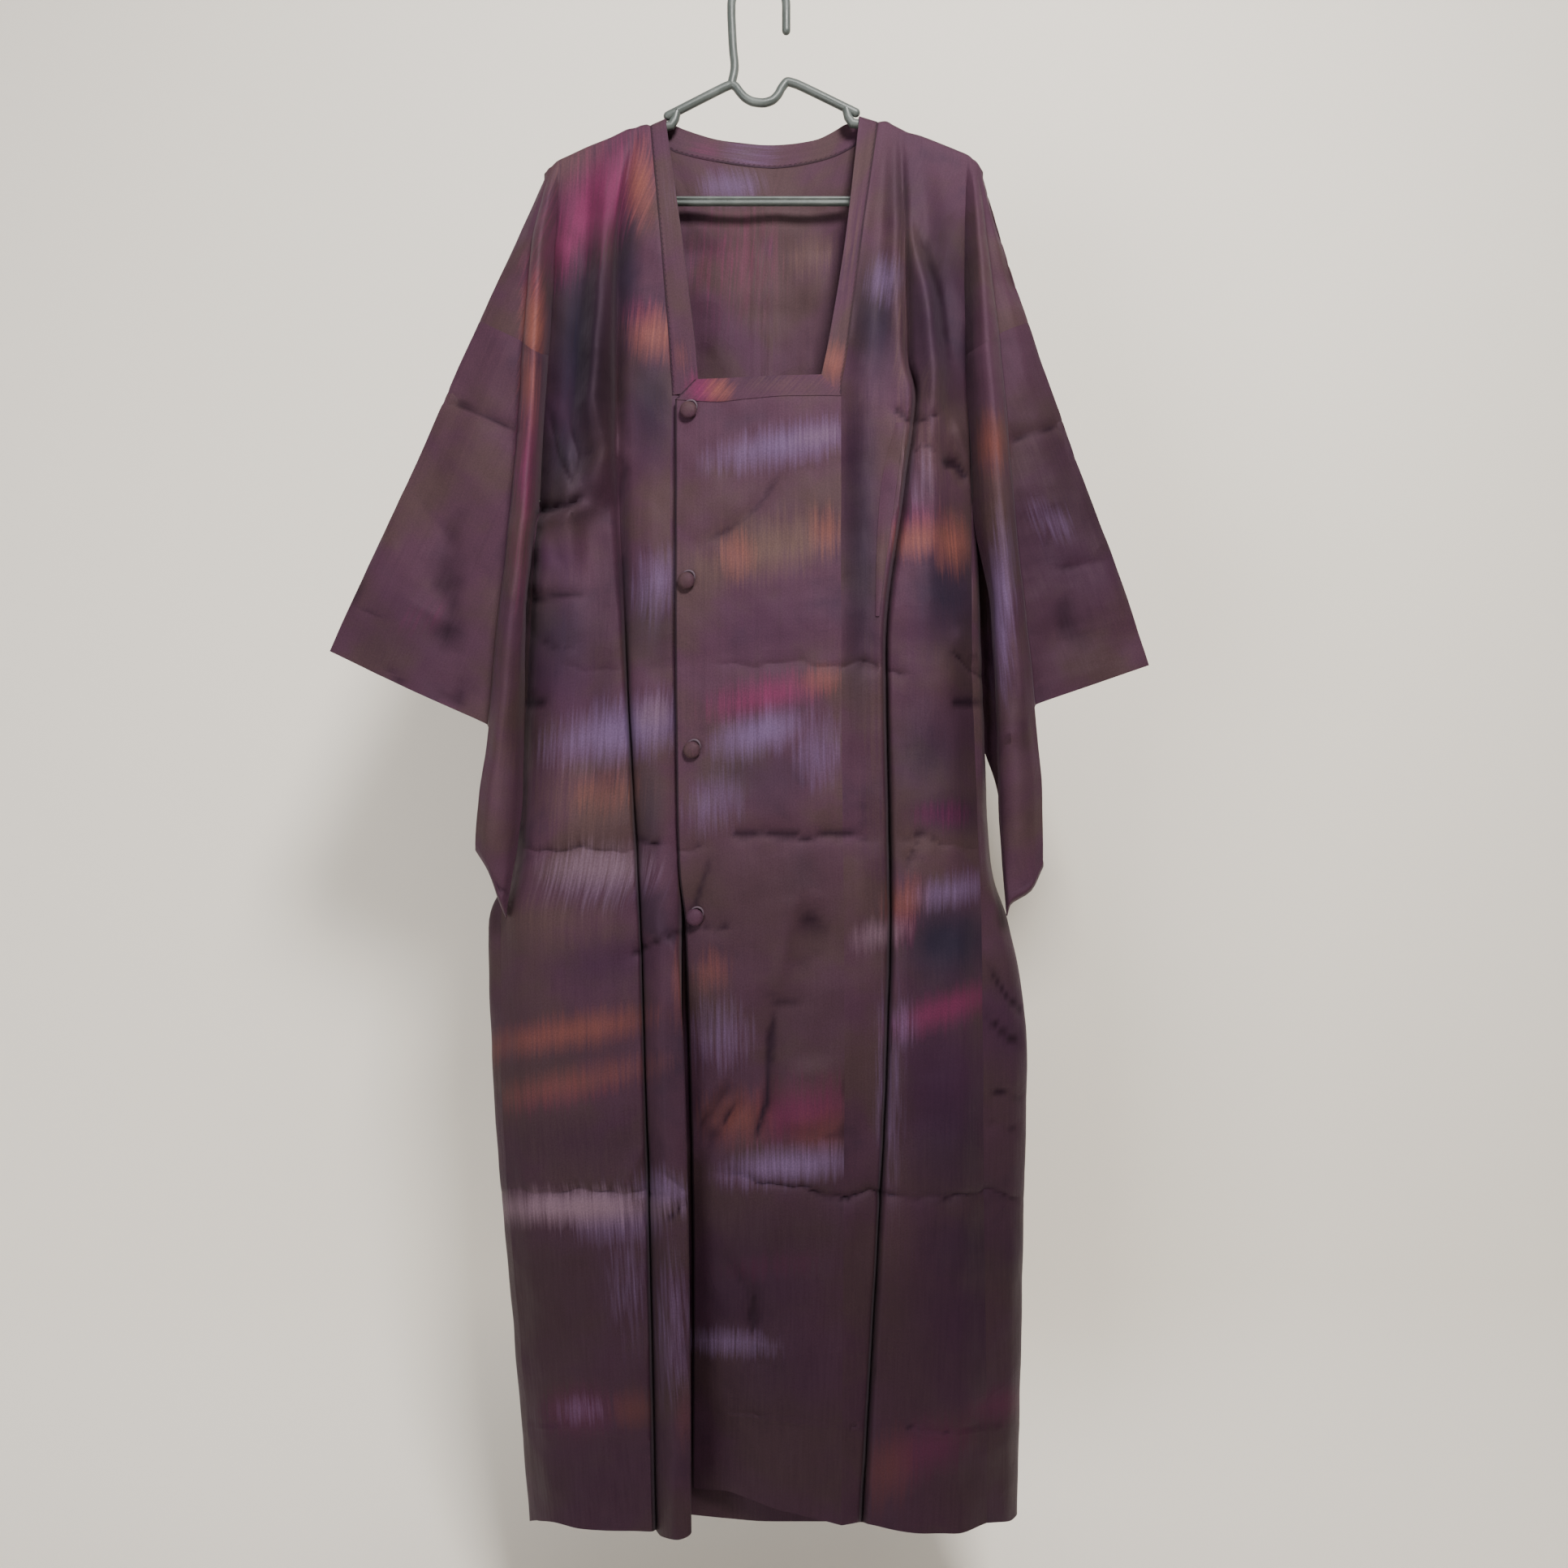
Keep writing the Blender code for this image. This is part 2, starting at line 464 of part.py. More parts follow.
class Cloth:
    """Every grid of cloth, sewn where points coincide, each piece given its wall at the end."""

    def __init__(self):
        self.points = []
        self.index = {}
        self.faces = {}

    def point(self, p):
        key = tuple(int(round(c / WELD)) for c in p)
        if key not in self.index:
            self.index[key] = len(self.points)
            self.points.append(np.array(p, float))
        return self.index[key]

    def lay(self, piece, grid):
        """Add a grid of points to a piece."""
        grid = np.asarray(grid)
        ids = [[self.point(p) for p in row] for row in grid]
        faces = self.faces.setdefault(piece, [])
        for r in range(len(ids) - 1):
            for c in range(len(ids[0]) - 1):
                loop = (ids[r][c], ids[r][c + 1], ids[r + 1][c + 1], ids[r + 1][c])
                loop = tuple(v for k, v in enumerate(loop) if v != loop[k - 1])
                if len(set(loop)) >= 3:
                    faces.append(loop)

    def agree(self):
        """Turn the faces so that neighbours run the same way round, across the seams too."""
        every = [(piece, k) for piece, faces in self.faces.items() for k in range(len(faces))]
        sides = {}
        for piece, k in every:
            face = self.faces[piece][k]
            for j in range(len(face)):
                sides.setdefault(frozenset((face[j - 1], face[j])), []).append((piece, k))
        turned = set()
        for start in every:
            if start in turned:
                continue
            turned.add(start)
            waiting = [start]
            while waiting:
                piece, k = waiting.pop()
                face = self.faces[piece][k]
                for j in range(len(face)):
                    sharing = sides[frozenset((face[j - 1], face[j]))]
                    if len(sharing) != 2:
                        continue
                    for other in sharing:
                        if other in turned:
                            continue
                        near = self.faces[other[0]][other[1]]
                        if (face[j - 1], face[j]) in zip(near[-1:] + near[:-1], near):
                            self.faces[other[0]][other[1]] = tuple(reversed(near))
                        turned.add(other)
                        waiting.append(other)

    def face_vector(self, face):
        corners = [self.points[v] for v in face]
        total = np.zeros(3)
        for k in range(1, len(corners) - 1):
            total += np.cross(corners[k] - corners[0], corners[k + 1] - corners[0])
        return total

    def around(self):
        """For each point, the piece, direction and middle of every face that meets there."""
        meeting = {}
        for piece, faces in self.faces.items():
            for face in faces:
                vector = self.face_vector(face)
                unit = vector / max(np.linalg.norm(vector), 1e-9)
                middle = sum(self.points[v] for v in face) / len(face)
                for v in face:
                    meeting.setdefault(v, []).append((piece, unit, middle))
        return meeting

    def wall_points(self, v, piece, meeting, half):
        """Both sides of the wall at a point, mitred in a fold and drawn back at a seam."""
        place = self.points[v].copy()
        total = sum(unit for name, unit, middle in meeting)
        size = np.linalg.norm(total)
        normal = total / max(size, 1e-9)
        lean = max(size / len(meeting), LEAN_LIMIT)
        rise = sum(np.dot(middle - place, normal) for name, unit, middle in meeting)
        hollow = min(half / lean, MITRE_LIMIT)
        crown = min(half / lean, half * CROWN_LIMIT)
        if any(name != piece for name, unit, middle in meeting):
            middles = [middle for name, unit, middle in meeting if name == piece]
            inward = sum(middles) / len(middles) - place
            inward = inward - normal * np.dot(inward, normal)
            place = place + inward / max(np.linalg.norm(inward), 1e-9) * SEAM_GAP / 2
        up, down = (hollow, crown) if rise > 0 else (crown, hollow)
        return place + normal * up, place - normal * down

    def wall(self, piece, thickness, meeting):
        """The piece as a closed wall."""
        faces = self.faces[piece]
        outer, inner, order = [], [], {}
        for face in faces:
            for v in face:
                if v not in order:
                    order[v] = len(outer)
                    above, below = self.wall_points(v, piece, meeting[v], thickness / 2)
                    outer.append(above)
                    inner.append(below)
        count = len(outer)
        loops = [[order[v] for v in face] for face in faces]
        loops += [[order[v] + count for v in reversed(face)] for face in faces]
        edges = {}
        for face in faces:
            for k in range(len(face)):
                edges.setdefault(frozenset((face[k - 1], face[k])), []).append((face[k - 1], face[k]))
        for pairs in edges.values():
            if len(pairs) == 1:
                a, b = pairs[0]
                loops.append([order[b], order[a], order[a] + count, order[b] + count])
        return np.array(outer + inner), loops


def material(name, colour, roughness, metallic=0.0):
    made = bpy.data.materials.new(name)
    made.use_nodes = True
    shader = made.node_tree.nodes["Principled BSDF"]
    shader.inputs["Base Color"].default_value = (*colour, 1.0)
    shader.inputs["Roughness"].default_value = roughness
    shader.inputs["Metallic"].default_value = metallic
    return made


def add_object(name, points, loops, colour, roughness):
    """A closed mesh object from points in mm, its faces turned outward."""
    mesh = bpy.data.meshes.new(name)
    mesh.from_pydata([tuple(float(c) * MM for c in p) for p in points], [], loops)
    work = bmesh.new()
    work.from_mesh(mesh)
    bmesh.ops.triangulate(work, faces=work.faces[:])
    bmesh.ops.recalc_face_normals(work, faces=work.faces[:])
    if work.calc_volume(signed=True) < 0:
        bmesh.ops.reverse_faces(work, faces=work.faces[:])
    work.to_mesh(mesh)
    work.free()
    mesh.shade_smooth()
    mesh.materials.append(material(name, colour, roughness))
    piece = bpy.data.objects.new(name, mesh)
    bpy.context.scene.collection.objects.link(piece)
    return piece


def side_line(gore_back, arm_top, across_top):
    """A back's side line from the arm to the hem: the armhole edge, then the gore's back edge."""
    at = stations(ROWS_PER_LEVEL)
    knots = list(range(len(LEVELS)))
    across = list(across_top) + list(gore_back.across)
    heights = list(HEIGHTS)
    heights[-1] = gore_back.foot
    depth = [WRAP_RADIUS, *ARMHOLE_DEPTH, *gore_back.depth]
    across[0], heights[0] = unseen(across[0], arm_top - WRAP_RADIUS, WRAP_RADIUS)
    line = [glide(knots, row, at) for row in (across, heights, depth)]
    return np.array([seen(a, h, d) for a, h, d in zip(*line)])


def round_neck(table):
    """Points round the back of the neck, from the right shoulder to the left."""
    knots = list(range(len(table)))
    at = stations(NECK_STEPS)
    columns = [glide(knots, [row[k] for row in table], at) for k in range(3)]
    return np.array([seen(*spot) for spot in zip(*columns)])


def neckband_grids(right, left, right_back, left_back, lap_row):
    """The neckband: down the right front, round the back of the neck and down the left front."""
    start = len(WRAP_ANGLES)
    at = [level for level in stations(ROWS_PER_LEVEL) if level <= 3][:lap_row - start + 1]

    def front_edge(edge):
        spots = np.array([list(p) for p in edge], float)
        top = unseen(edge[0][0], edge[0][1] - WRAP_RADIUS, -WRAP_RADIUS)
        spots[0] = (top[0], top[1], -WRAP_RADIUS)
        line = [glide((0, 1, 2, 3), spots[:, k], at) for k in range(3)]
        row = np.array([seen(a, h, d) for a, h, d in zip(*line)])
        top = [p[0] for p in wrap_rows(row[:1])]
        return np.array(top + list(row))

    right_seam = right[:lap_row + 1]
    left_seam = left[:lap_row + 1]
    right_edge = front_edge(RIGHT_BAND_EDGE)
    left_edge = front_edge(LEFT_BAND_EDGE)
    back_seam = np.concatenate([right_back, left_back[::-1][1:]])
    seam = np.concatenate([right_seam[::-1], back_seam, left_seam])
    edge = np.concatenate([right_edge[::-1], round_neck(NECK_EDGE), left_edge])
    mid = (seam + edge) / 2
    return np.stack([seam, mid, edge], axis=1)


def build_cloth():
    cloth = Cloth()
    start = len(WRAP_ANGLES)
    lap_row = start + sum(ROWS_PER_LEVEL[:3])
    underarm_row = start + sum(ROWS_PER_LEVEL[:4])
    right = front_panel(RIGHT_FRONT, RIGHT_FRONT_STEPS)
    left = front_panel(LEFT_FRONT, LEFT_FRONT_STEPS)

    # Fronts. The right's last fold is sewn to the inner overlap below the lap only.
    cloth.lay("body_right", right[:, :-1])
    cloth.lay("body_right", right[lap_row:, -2:])
    cloth.lay("body_left", left)

    # Backs
    right_side = side_line(RIGHT_GORE[-1], RIGHT_FRONT[0].top, RIGHT_ARMHOLE)
    left_side = side_line(LEFT_GORE[-1], LEFT_FRONT[-1].top, LEFT_ARMHOLE)
    seam = round_neck(NECK_SEAM)
    half = len(seam) // 2
    right_neck, left_neck = seam[:half + 1], seam[:half - 1:-1]
    right_top = right[:start + 1, :-1]
    left_top = left[:start + 1, ::-1]
    right_back = back_panel(right_top, right_side, right_neck, -1)
    left_back = back_panel(left_top, left_side, left_neck, 1)
    # Both backs meet on one line at the centre
    centre = (right_back[:, -1] + left_back[:, -1]) / 2
    right_back[:, -1] = centre
    left_back[:, -1] = centre
    cloth.lay("body_right", right_back)
    cloth.lay("body_left", left_back)

    # Shoulder caps and sleeves
    for name, side, table, cap, front_side, back_side in (
            ("right", "body_right", RIGHT_SLEEVE, RIGHT_CAP, right[:, 0], right_back[:, 0]),
            ("left", "body_left", LEFT_SLEEVE, LEFT_CAP, left[:, -1], left_back[:, 0])):
        front_cap = cap_grid(cap, front_side, True)
        back_cap = cap_grid(cap, back_side, False)
        back_cap[0] = front_cap[0]
        cloth.lay(side, front_cap)
        cloth.lay(side, back_cap)
        sleeve = "sleeve_" + name
        hand_step = (UNDERARM_STEP[0] * (-1 if name == "right" else 1), *UNDERARM_STEP[1:])
        grids = sleeve_grids(table, front_side, back_side, front_cap, back_cap, hand_step)
        for face in ("front", "back"):
            flap, strip = grids[face]
            cloth.lay(sleeve, flap)
            cloth.lay(sleeve, strip)
            cloth.lay(sleeve, np.array([strip[-1], grids["tip"]]))

    # Gores, overlaps and neckband
    first = LEVELS.index("underarm")
    for name, gore, front_side, back_side in (
            ("gore_right", RIGHT_GORE, right[:, 0], right_back[:, 0]),
            ("gore_left", LEFT_GORE, left[:, -1], left_back[:, 0])):
        grid = spread(fold_lines(gore, first), (GORE_STEP,) * (len(gore) - 1))
        grid[:, 0] = front_side[underarm_row:]
        grid[:, -1] = back_side[underarm_row:]
        cloth.lay(name, grid)
    lap = LEVELS.index("lap")
    outer = spread(overlap_lines(OVERLAP_OUTER, lap, FRONT_BAND), OVERLAP_OUTER_STEPS)
    outer[:, -1] = left[lap_row:, 0]
    cloth.lay("overlap_left", outer)
    inner = spread(overlap_lines(OVERLAP_INNER, lap, None), OVERLAP_INNER_STEPS)
    inner[:, 0] = right[lap_row:, -1]
    cloth.lay("overlap_right", inner)
    neck_columns = right_top.shape[1]
    left_columns = left_top.shape[1]
    band = neckband_grids(right[:, -2], left[:, 0], right_back[0, neck_columns:],
                          left_back[0, left_columns:], lap_row)
    cloth.lay("neckband", band)
    top = outer[0]
    knots = np.linspace(0, 1, len(FRONT_BAND_EDGE))
    edge = np.array([seen(*(glide(knots, [p[k] for p in FRONT_BAND_EDGE], t) for k in range(3)))
                     for t in np.linspace(0, 1, len(top))])
    edge[-1] = band[-1, 2]
    middle = (top + edge) / 2
    middle[-1] = band[-1, 1]
    cloth.lay("neckband_front", np.array([top, middle, edge]))
    return cloth


def overlap_lines(folds, first, top):
    """Fold lines of an overlap, whose upper edge follows the front neckband's seam."""
    lines = fold_lines(folds, first)
    if top is not None:
        for k in range(len(folds)):
            lines[k, 1, 0] = top[k][1]
    return lines


def tube(path, deep, tall, sides=ROUND_SIDES):
    """A rod along a path in the hanger's plane, mitred at its bends, with flat ends."""
    path = [np.array(p, float) for p in path]
    points, loops = [], []
    for i, place in enumerate(path):
        before = place - path[i - 1] if i else path[1] - place
        after = path[i + 1] - place if i < len(path) - 1 else before
        before, after = before / np.linalg.norm(before), after / np.linalg.norm(after)
        along = (before + after) / np.linalg.norm(before + after)
        across = np.array((-along[1], along[0])) / max(float(np.dot(along, after)), BEND_LIMIT)
        for k in range(sides):
            turn = 2 * math.pi * (k + 0.5) / sides
            spot = place + across * tall * math.sin(turn)
            points.append((spot[0], deep * math.cos(turn), spot[1]))
    for i in range(len(path) - 1):
        for k in range(sides):
            a, b = i * sides + k, i * sides + (k + 1) % sides
            loops.append([a, b, b + sides, a + sides])
    loops.append(list(reversed(range(sides))))
    loops.append([len(points) - sides + k for k in range(sides)])
    return points, loops


def hanger_pieces():
    """Every piece of the hanger, by name: points and loops."""
    arch = [(HOOK_RADIUS, HOOK_DROP)]
    for step in range(ARCH_STEPS + 1):
        turn = math.pi * step / ARCH_STEPS
        arch.append((HOOK_RADIUS * math.cos(turn), HOOK_THICK - HOOK_RADIUS
                     + HOOK_RADIUS * math.sin(turn)))
    foot = CROWN[CROWN_PEAK]
    hook = arch + list(HOOK_STEM) + [(foot[0], foot[1] + ARM_RADIUS + 2 * SEAM_GAP)]
    frame = [tube(CROWN, ARM_RADIUS, ARM_RADIUS)]
    ends = []
    for name, strut, folds, edge, hand in (
            ("right", RIGHT_STRUT, RIGHT_FRONT[-2::-1], RIGHT_BAND_EDGE[0], -1),
            ("left", LEFT_STRUT, LEFT_FRONT, LEFT_BAND_EDGE[0], 1)):
        under = [(edge[0], edge[1] - WRAP_RADIUS)]
        last = folds[-1].across[0] - hand * END_SETBACK, folds[-1].top - END_LOWER
        under += [(fold.across[0], fold.top - WRAP_RADIUS) for fold in folds
                  if abs(fold.across[0]) < abs(last[0]) - END_SETBACK / 2]
        drop = last[1] - BAR_HEIGHT
        turned = [(last[0] + hand * out, last[1] - share * drop) for out, share in END_TURN]
        frame.append(tube(list(strut) + under + turned, ARM_RADIUS, ARM_RADIUS))
        ends.append(turned[-1][0])
    run = [(ends[0] + SEAM_GAP, BAR_HEIGHT), (ends[1] - SEAM_GAP, BAR_HEIGHT)]
    return {"hanger_hook": [tube(hook, HOOK_THICK, HOOK_THICK)], "hanger_frame": frame,
            "hanger_bar": [tube(run, BAR_DEEP, BAR_TALL)]}


def join(pieces):
    """Merge overlapping solids into the first of them."""
    whole = pieces[0]
    for other in pieces[1:]:
        union = whole.modifiers.new("union", "BOOLEAN")
        union.operation = "UNION"
        union.solver = "EXACT"
        union.object = other
        depsgraph = bpy.context.evaluated_depsgraph_get()
        joined = bpy.data.meshes.new_from_object(whole.evaluated_get(depsgraph))
        whole.modifiers.clear()
        whole.data = joined
        bpy.data.objects.remove(other, do_unlink=True)
    return whole


def front_face(tree, across, height):
    """The point of a cloth's front that shows at a width and height in the hanger's plane."""
    eye = Vector((EYE_X, EYE_Y, EYE_Z))
    aim = (Vector((across, 0.0, height)) - eye).normalized()
    place, normal, _, _ = tree.ray_cast(eye, aim)
    if normal.dot(aim) > 0:
        normal = -normal
    return place, normal


def button(tree, across, height):
    """A covered dome button on a short shank, seated on the overlap."""
    seat = min(front_face(tree, across + x, height + z)[0].y
               for x in (-BUTTON_SEAT, 0, BUTTON_SEAT)
               for z in (-BUTTON_SEAT, 0, BUTTON_SEAT)) - ON_PANEL
    centre, _ = front_face(tree, across, height)
    sides = BUTTON_SIDES
    points, loops = [], []
    for share, out in BUTTON_OUTLINE:
        radius = share * BUTTON_WIDTH / 2
        for k in range(sides):
            turn = 2 * math.pi * k / sides
            points.append((centre.x + radius * math.cos(turn), seat - out,
                           centre.z + radius * math.sin(turn)))
    for i in range(len(BUTTON_OUTLINE) - 1):
        for k in range(sides):
            a, b = i * sides + k, i * sides + (k + 1) % sides
            loops.append([a, b, b + sides, a + sides])
    points.append((centre.x, seat - BUTTON_HEIGHT, centre.z))
    last = (len(BUTTON_OUTLINE) - 1) * sides
    loops += [[last + k, last + (k + 1) % sides, len(points) - 1] for k in range(sides)]
    loops.append(list(reversed(range(sides))))
    return points, loops


def pocket_band(tree):
    """The band beside the pocket mouth, laid on the front from the front's own points."""
    knots = list(range(len(POCKET)))
    at = stations((POCKET_ROWS,) * (len(POCKET) - 1))
    rows = [glide(knots, [row[k] for row in POCKET], at) for k in range(3)]
    outer, inner = [], []
    columns = POCKET_COLUMNS
    for height, left, right in zip(*rows):
        for k in range(columns):
            place, normal = front_face(tree, left + (right - left) * k / (columns - 1), height)
            inner.append(place + normal * ON_PANEL)
            outer.append(place + normal * (ON_PANEL + POCKET_WALL))
    count = len(outer)
    grid = [[r * columns + c for c in range(columns)] for r in range(len(at))]
    loops = []
    for r in range(len(at) - 1):
        for c in range(columns - 1):
            face = [grid[r][c], grid[r][c + 1], grid[r + 1][c + 1], grid[r + 1][c]]
            loops += [face, [v + count for v in reversed(face)]]
    rim = (grid[0] + [row[-1] for row in grid[1:]] + grid[-1][-2::-1]
           + [row[0] for row in grid[-2:0:-1]])
    for a, b in zip(rim, rim[1:] + rim[:1]):
        loops.append([b, a, a + count, b + count])
    return outer + inner, loops


def tree_of(points, loops):
    return BVHTree.FromPolygons([tuple(p) for p in points], loops)


def build():
    for old in list(bpy.data.objects):
        bpy.data.objects.remove(old, do_unlink=True)
    cloth = build_cloth()
    cloth.agree()
    meeting = cloth.around()
    trees = {}
    for piece in cloth.faces:
        points, loops = cloth.wall(piece, WALL, meeting)
        trees[piece] = tree_of(points, loops)
        add_object(piece, points, loops, CLOTH_COLOUR, CLOTH_ROUGHNESS)
    add_object("pocket_band", *pocket_band(trees["body_left"]), CLOTH_COLOUR, CLOTH_ROUGHNESS)
    for number, (across, height) in enumerate(BUTTONS, start=1):
        made = button(trees["overlap_left"], across, height)
        add_object("button_" + str(number), *made, CLOTH_COLOUR, CLOTH_ROUGHNESS)
    for name, rods in hanger_pieces().items():
        join([add_object(name, *rod, HANGER_COLOUR, HANGER_ROUGHNESS) for rod in rods])


build()
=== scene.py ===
"""Michiyuki coat on a hanger: space-dyed silk panels with their folds and creases, covered
buttons, plastic hanger, and a pale studio.

Sizes in the tables are in mm. Right and left in the names are the wearer's: the wearer's right
is at -X, and the coat's front faces -Y.
"""
import math
from collections import namedtuple

import bpy
import numpy as np
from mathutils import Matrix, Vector
from mathutils.bvhtree import BVHTree


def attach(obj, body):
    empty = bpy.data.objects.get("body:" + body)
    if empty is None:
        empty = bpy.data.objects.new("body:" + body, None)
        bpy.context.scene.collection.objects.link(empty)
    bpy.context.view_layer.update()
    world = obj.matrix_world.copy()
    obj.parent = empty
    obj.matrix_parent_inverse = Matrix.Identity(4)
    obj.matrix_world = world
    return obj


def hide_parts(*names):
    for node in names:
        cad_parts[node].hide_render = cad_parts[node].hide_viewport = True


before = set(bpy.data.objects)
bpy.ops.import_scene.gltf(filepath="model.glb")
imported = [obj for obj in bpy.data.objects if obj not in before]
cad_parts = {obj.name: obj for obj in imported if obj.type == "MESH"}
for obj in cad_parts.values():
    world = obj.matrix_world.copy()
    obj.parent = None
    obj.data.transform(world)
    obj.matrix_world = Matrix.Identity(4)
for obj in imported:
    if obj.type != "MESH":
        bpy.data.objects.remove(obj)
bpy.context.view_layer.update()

bl_info = {
    "name": "Michiyuki coat",
    "version": (1, 0, 0),
    "blender": (4, 5, 0),
    "location": "View3D > Sidebar > Coat",
    "description": "Builds a space-dyed silk michiyuki coat hanging on its hanger",
    "category": "Object",
}

MM = 0.001

# How much finer the cloth is laid here than in the solids: rows down, columns across
DOWN = 12
ACROSS = 4

# Points nearer than this are one; a length too short to divide by
WELD = 0.02
TINY = 1e-9
# How far each piece's edges sink where they meet another piece's
SEAM_SINK = 0.25
# Sharpest angle that is shaded smooth, degrees
SHARP_ANGLE = 62
# The hanger's arm, and the cloth's turn round it
ARM_RADIUS = 3.9
WRAP_RADIUS = 5.4
# The body's backs: depth, and the soft waves across each panel
BACK_DEPTH = 19.0
BACK_WAVE = 7.0
BACK_WAVES_PER_PANEL = 2.25
BACK_WAVE_GROWTH = 2.5
BACK_WAVE_LEAN = 0.6
BACK_SIDE_EASE = 5.0
BACK_HEM_RISE = 30.0
# How deep a shoulder cap's folds are behind, as a share of their depth in front
REAR_SHARE = 0.62

# Widths and heights in the tables are read in the hanger's plane from this point, mm
EYE_X, EYE_Y, EYE_Z = 23.0, -1112.0, -731.0
# The picture's frame: mm in the hanger's plane for one of its 1932 steps, and its corner
PICTURE_STEP = 0.74
PICTURE_LEFT, PICTURE_TOP = -691.84, -16.16

# Heights of the levels that every lengthwise fold passes, mm. None: the fold gives its own.
LEVELS = ("arm", "yoke", "chest", "lap", "underarm", "waist", "hip", "button", "knee", "shin", "hem")
HEIGHTS = (None, -240, -340, -377, -473, -606, -802, -862, -978, -1171, None)


def finer(steps, times):
    return tuple(step * times for step in steps)


ROWS_PER_LEVEL = (24, 24, 12, 24, 28, 48, 10, 20, 44, 42)
# Rows crowd round the lines pressed across the coat while it lay folded: heights, share, reach mm
CROWD_SAMPLES = 400
PRESSED_HEIGHTS = (-625.0, -788.0, -1104.0, -1319.0)
PRESSED_CROWD = 4.0
PRESSED_REACH = 9.0
WRAP_ANGLES = (0, 9, 18, 27, 36, 45, 54, 63, 72, 81)
# Steps across each piece, from each of its folds to the next
RIGHT_FRONT_STEPS = finer((2, 2, 2, 2, 1, 1, 2, 2, 1), ACROSS)
LEFT_FRONT_STEPS = finer((2, 2, 1, 1, 2, 2, 2), ACROSS)
CAP_STEPS = finer((2, 2, 1, 1, 1), ACROSS)
FLAP_STEPS = finer((2, 2, 1), ACROSS)
STRIP_STEPS = finer((1, 1, 1), ACROSS)
OVERLAP_OUTER_STEPS = finer((2, 3, 3), ACROSS)
OVERLAP_INNER_STEPS = finer((2, 3, 2), ACROSS)
GORE_STEP = 2 * ACROSS
# The back's armhole edge at the arm, yoke, chest and lap: across on each side, and depth below
RIGHT_ARMHOLE = (-181, -186, -192, -195)
LEFT_ARMHOLE = (189, 188, 189, 190)
ARMHOLE_DEPTH = (5, 6, 7)
# How much of the turn round the arm is left at each fold of a shoulder cap, outer fold first
CAP_REACH = (0.0, 0.66, 0.82, 0.91, 0.97, 1.0)


# A lengthwise fold line: heights of its top and foot, and its place across and in depth at each level
Fold = namedtuple("Fold", "name top foot across depth")

# Wearer's right front, from the armhole in to the edge that the overlap is sewn to.
# Columns: arm, yoke, chest, lap, underarm, waist, hip, button, knee, shin, hem.
RIGHT_FRONT = (
    Fold("side", -163, -1402, (-181, -186, -192, -195, -200, -209, -221, -235, -235, -223, -202),
         (0, -2, -3, -3, -4, -12, -10, -12, -14, -14, -14)),
    Fold("hollow", -158, -1405, (-170, -175, -178, -180, -191, -198, -207, -215, -212, -202, -186),
         (0, -8, -9, -10, -22, -32, -30, -30, -30, -30, -32)),
    Fold("breast", -151, -1410, (-155, -158, -165, -168, -174, -172, -172, -174, -174, -169, -162),
         (0, -10, -10, -12, -40, -40, -40, -38, -38, -38, -40)),
    Fold("ridge", -143, -1413, (-135, -143, -148, -151, -156, -147, -141, -140, -139, -136, -134),
         (0, -28, -32, -33, -24, -38, -42, -44, -44, -42, -44)),
    Fold("lip", -135, -1413, (-118, -134, -135, -135, -135, -126, -115, -111, -108, -103, -98),
         (0, -22, -24, -23, -18, -34, -40, -42, -44, -44, -46)),
    Fold("fold", -134, -1411, (-112, -128, -129, -129, -127, -121, -111, -108, -104, -99, -94),
         (0, -8, -8, -8, -8, -20, -26, -27, -28, -28, -30)),
    Fold("roll_out", -132, -1417, (-107, -116, -118, -118, -116, -116, -106, -104, -101, -95, -89),
         (0, -20, -22, -23, -26, -38, -42, -44, -46, -46, -48)),
    Fold("roll_top", -131, -1420, (-102, -103, -100, -98, -96, -98, -91, -89, -85, -79, -75),
         (0, -24, -28, -29, -34, -44, -50, -56, -60, -60, -64)),
    Fold("roll_in", -132, -1413, (-98, -89, -81, -79, -81, -79, -74, -75, -69, -64, -62),
         (0, -25, -29, -31, -34, -38, -44, -52, -58, -58, -62)),
    Fold("tuck", -132, -1396, (-78, -72, -67, -64, -63, -63, -66, -70, -71, -68, -69),
         (0, -24, -30, -31, -33, -34, -33, -31, -20, -14, -6)),
)

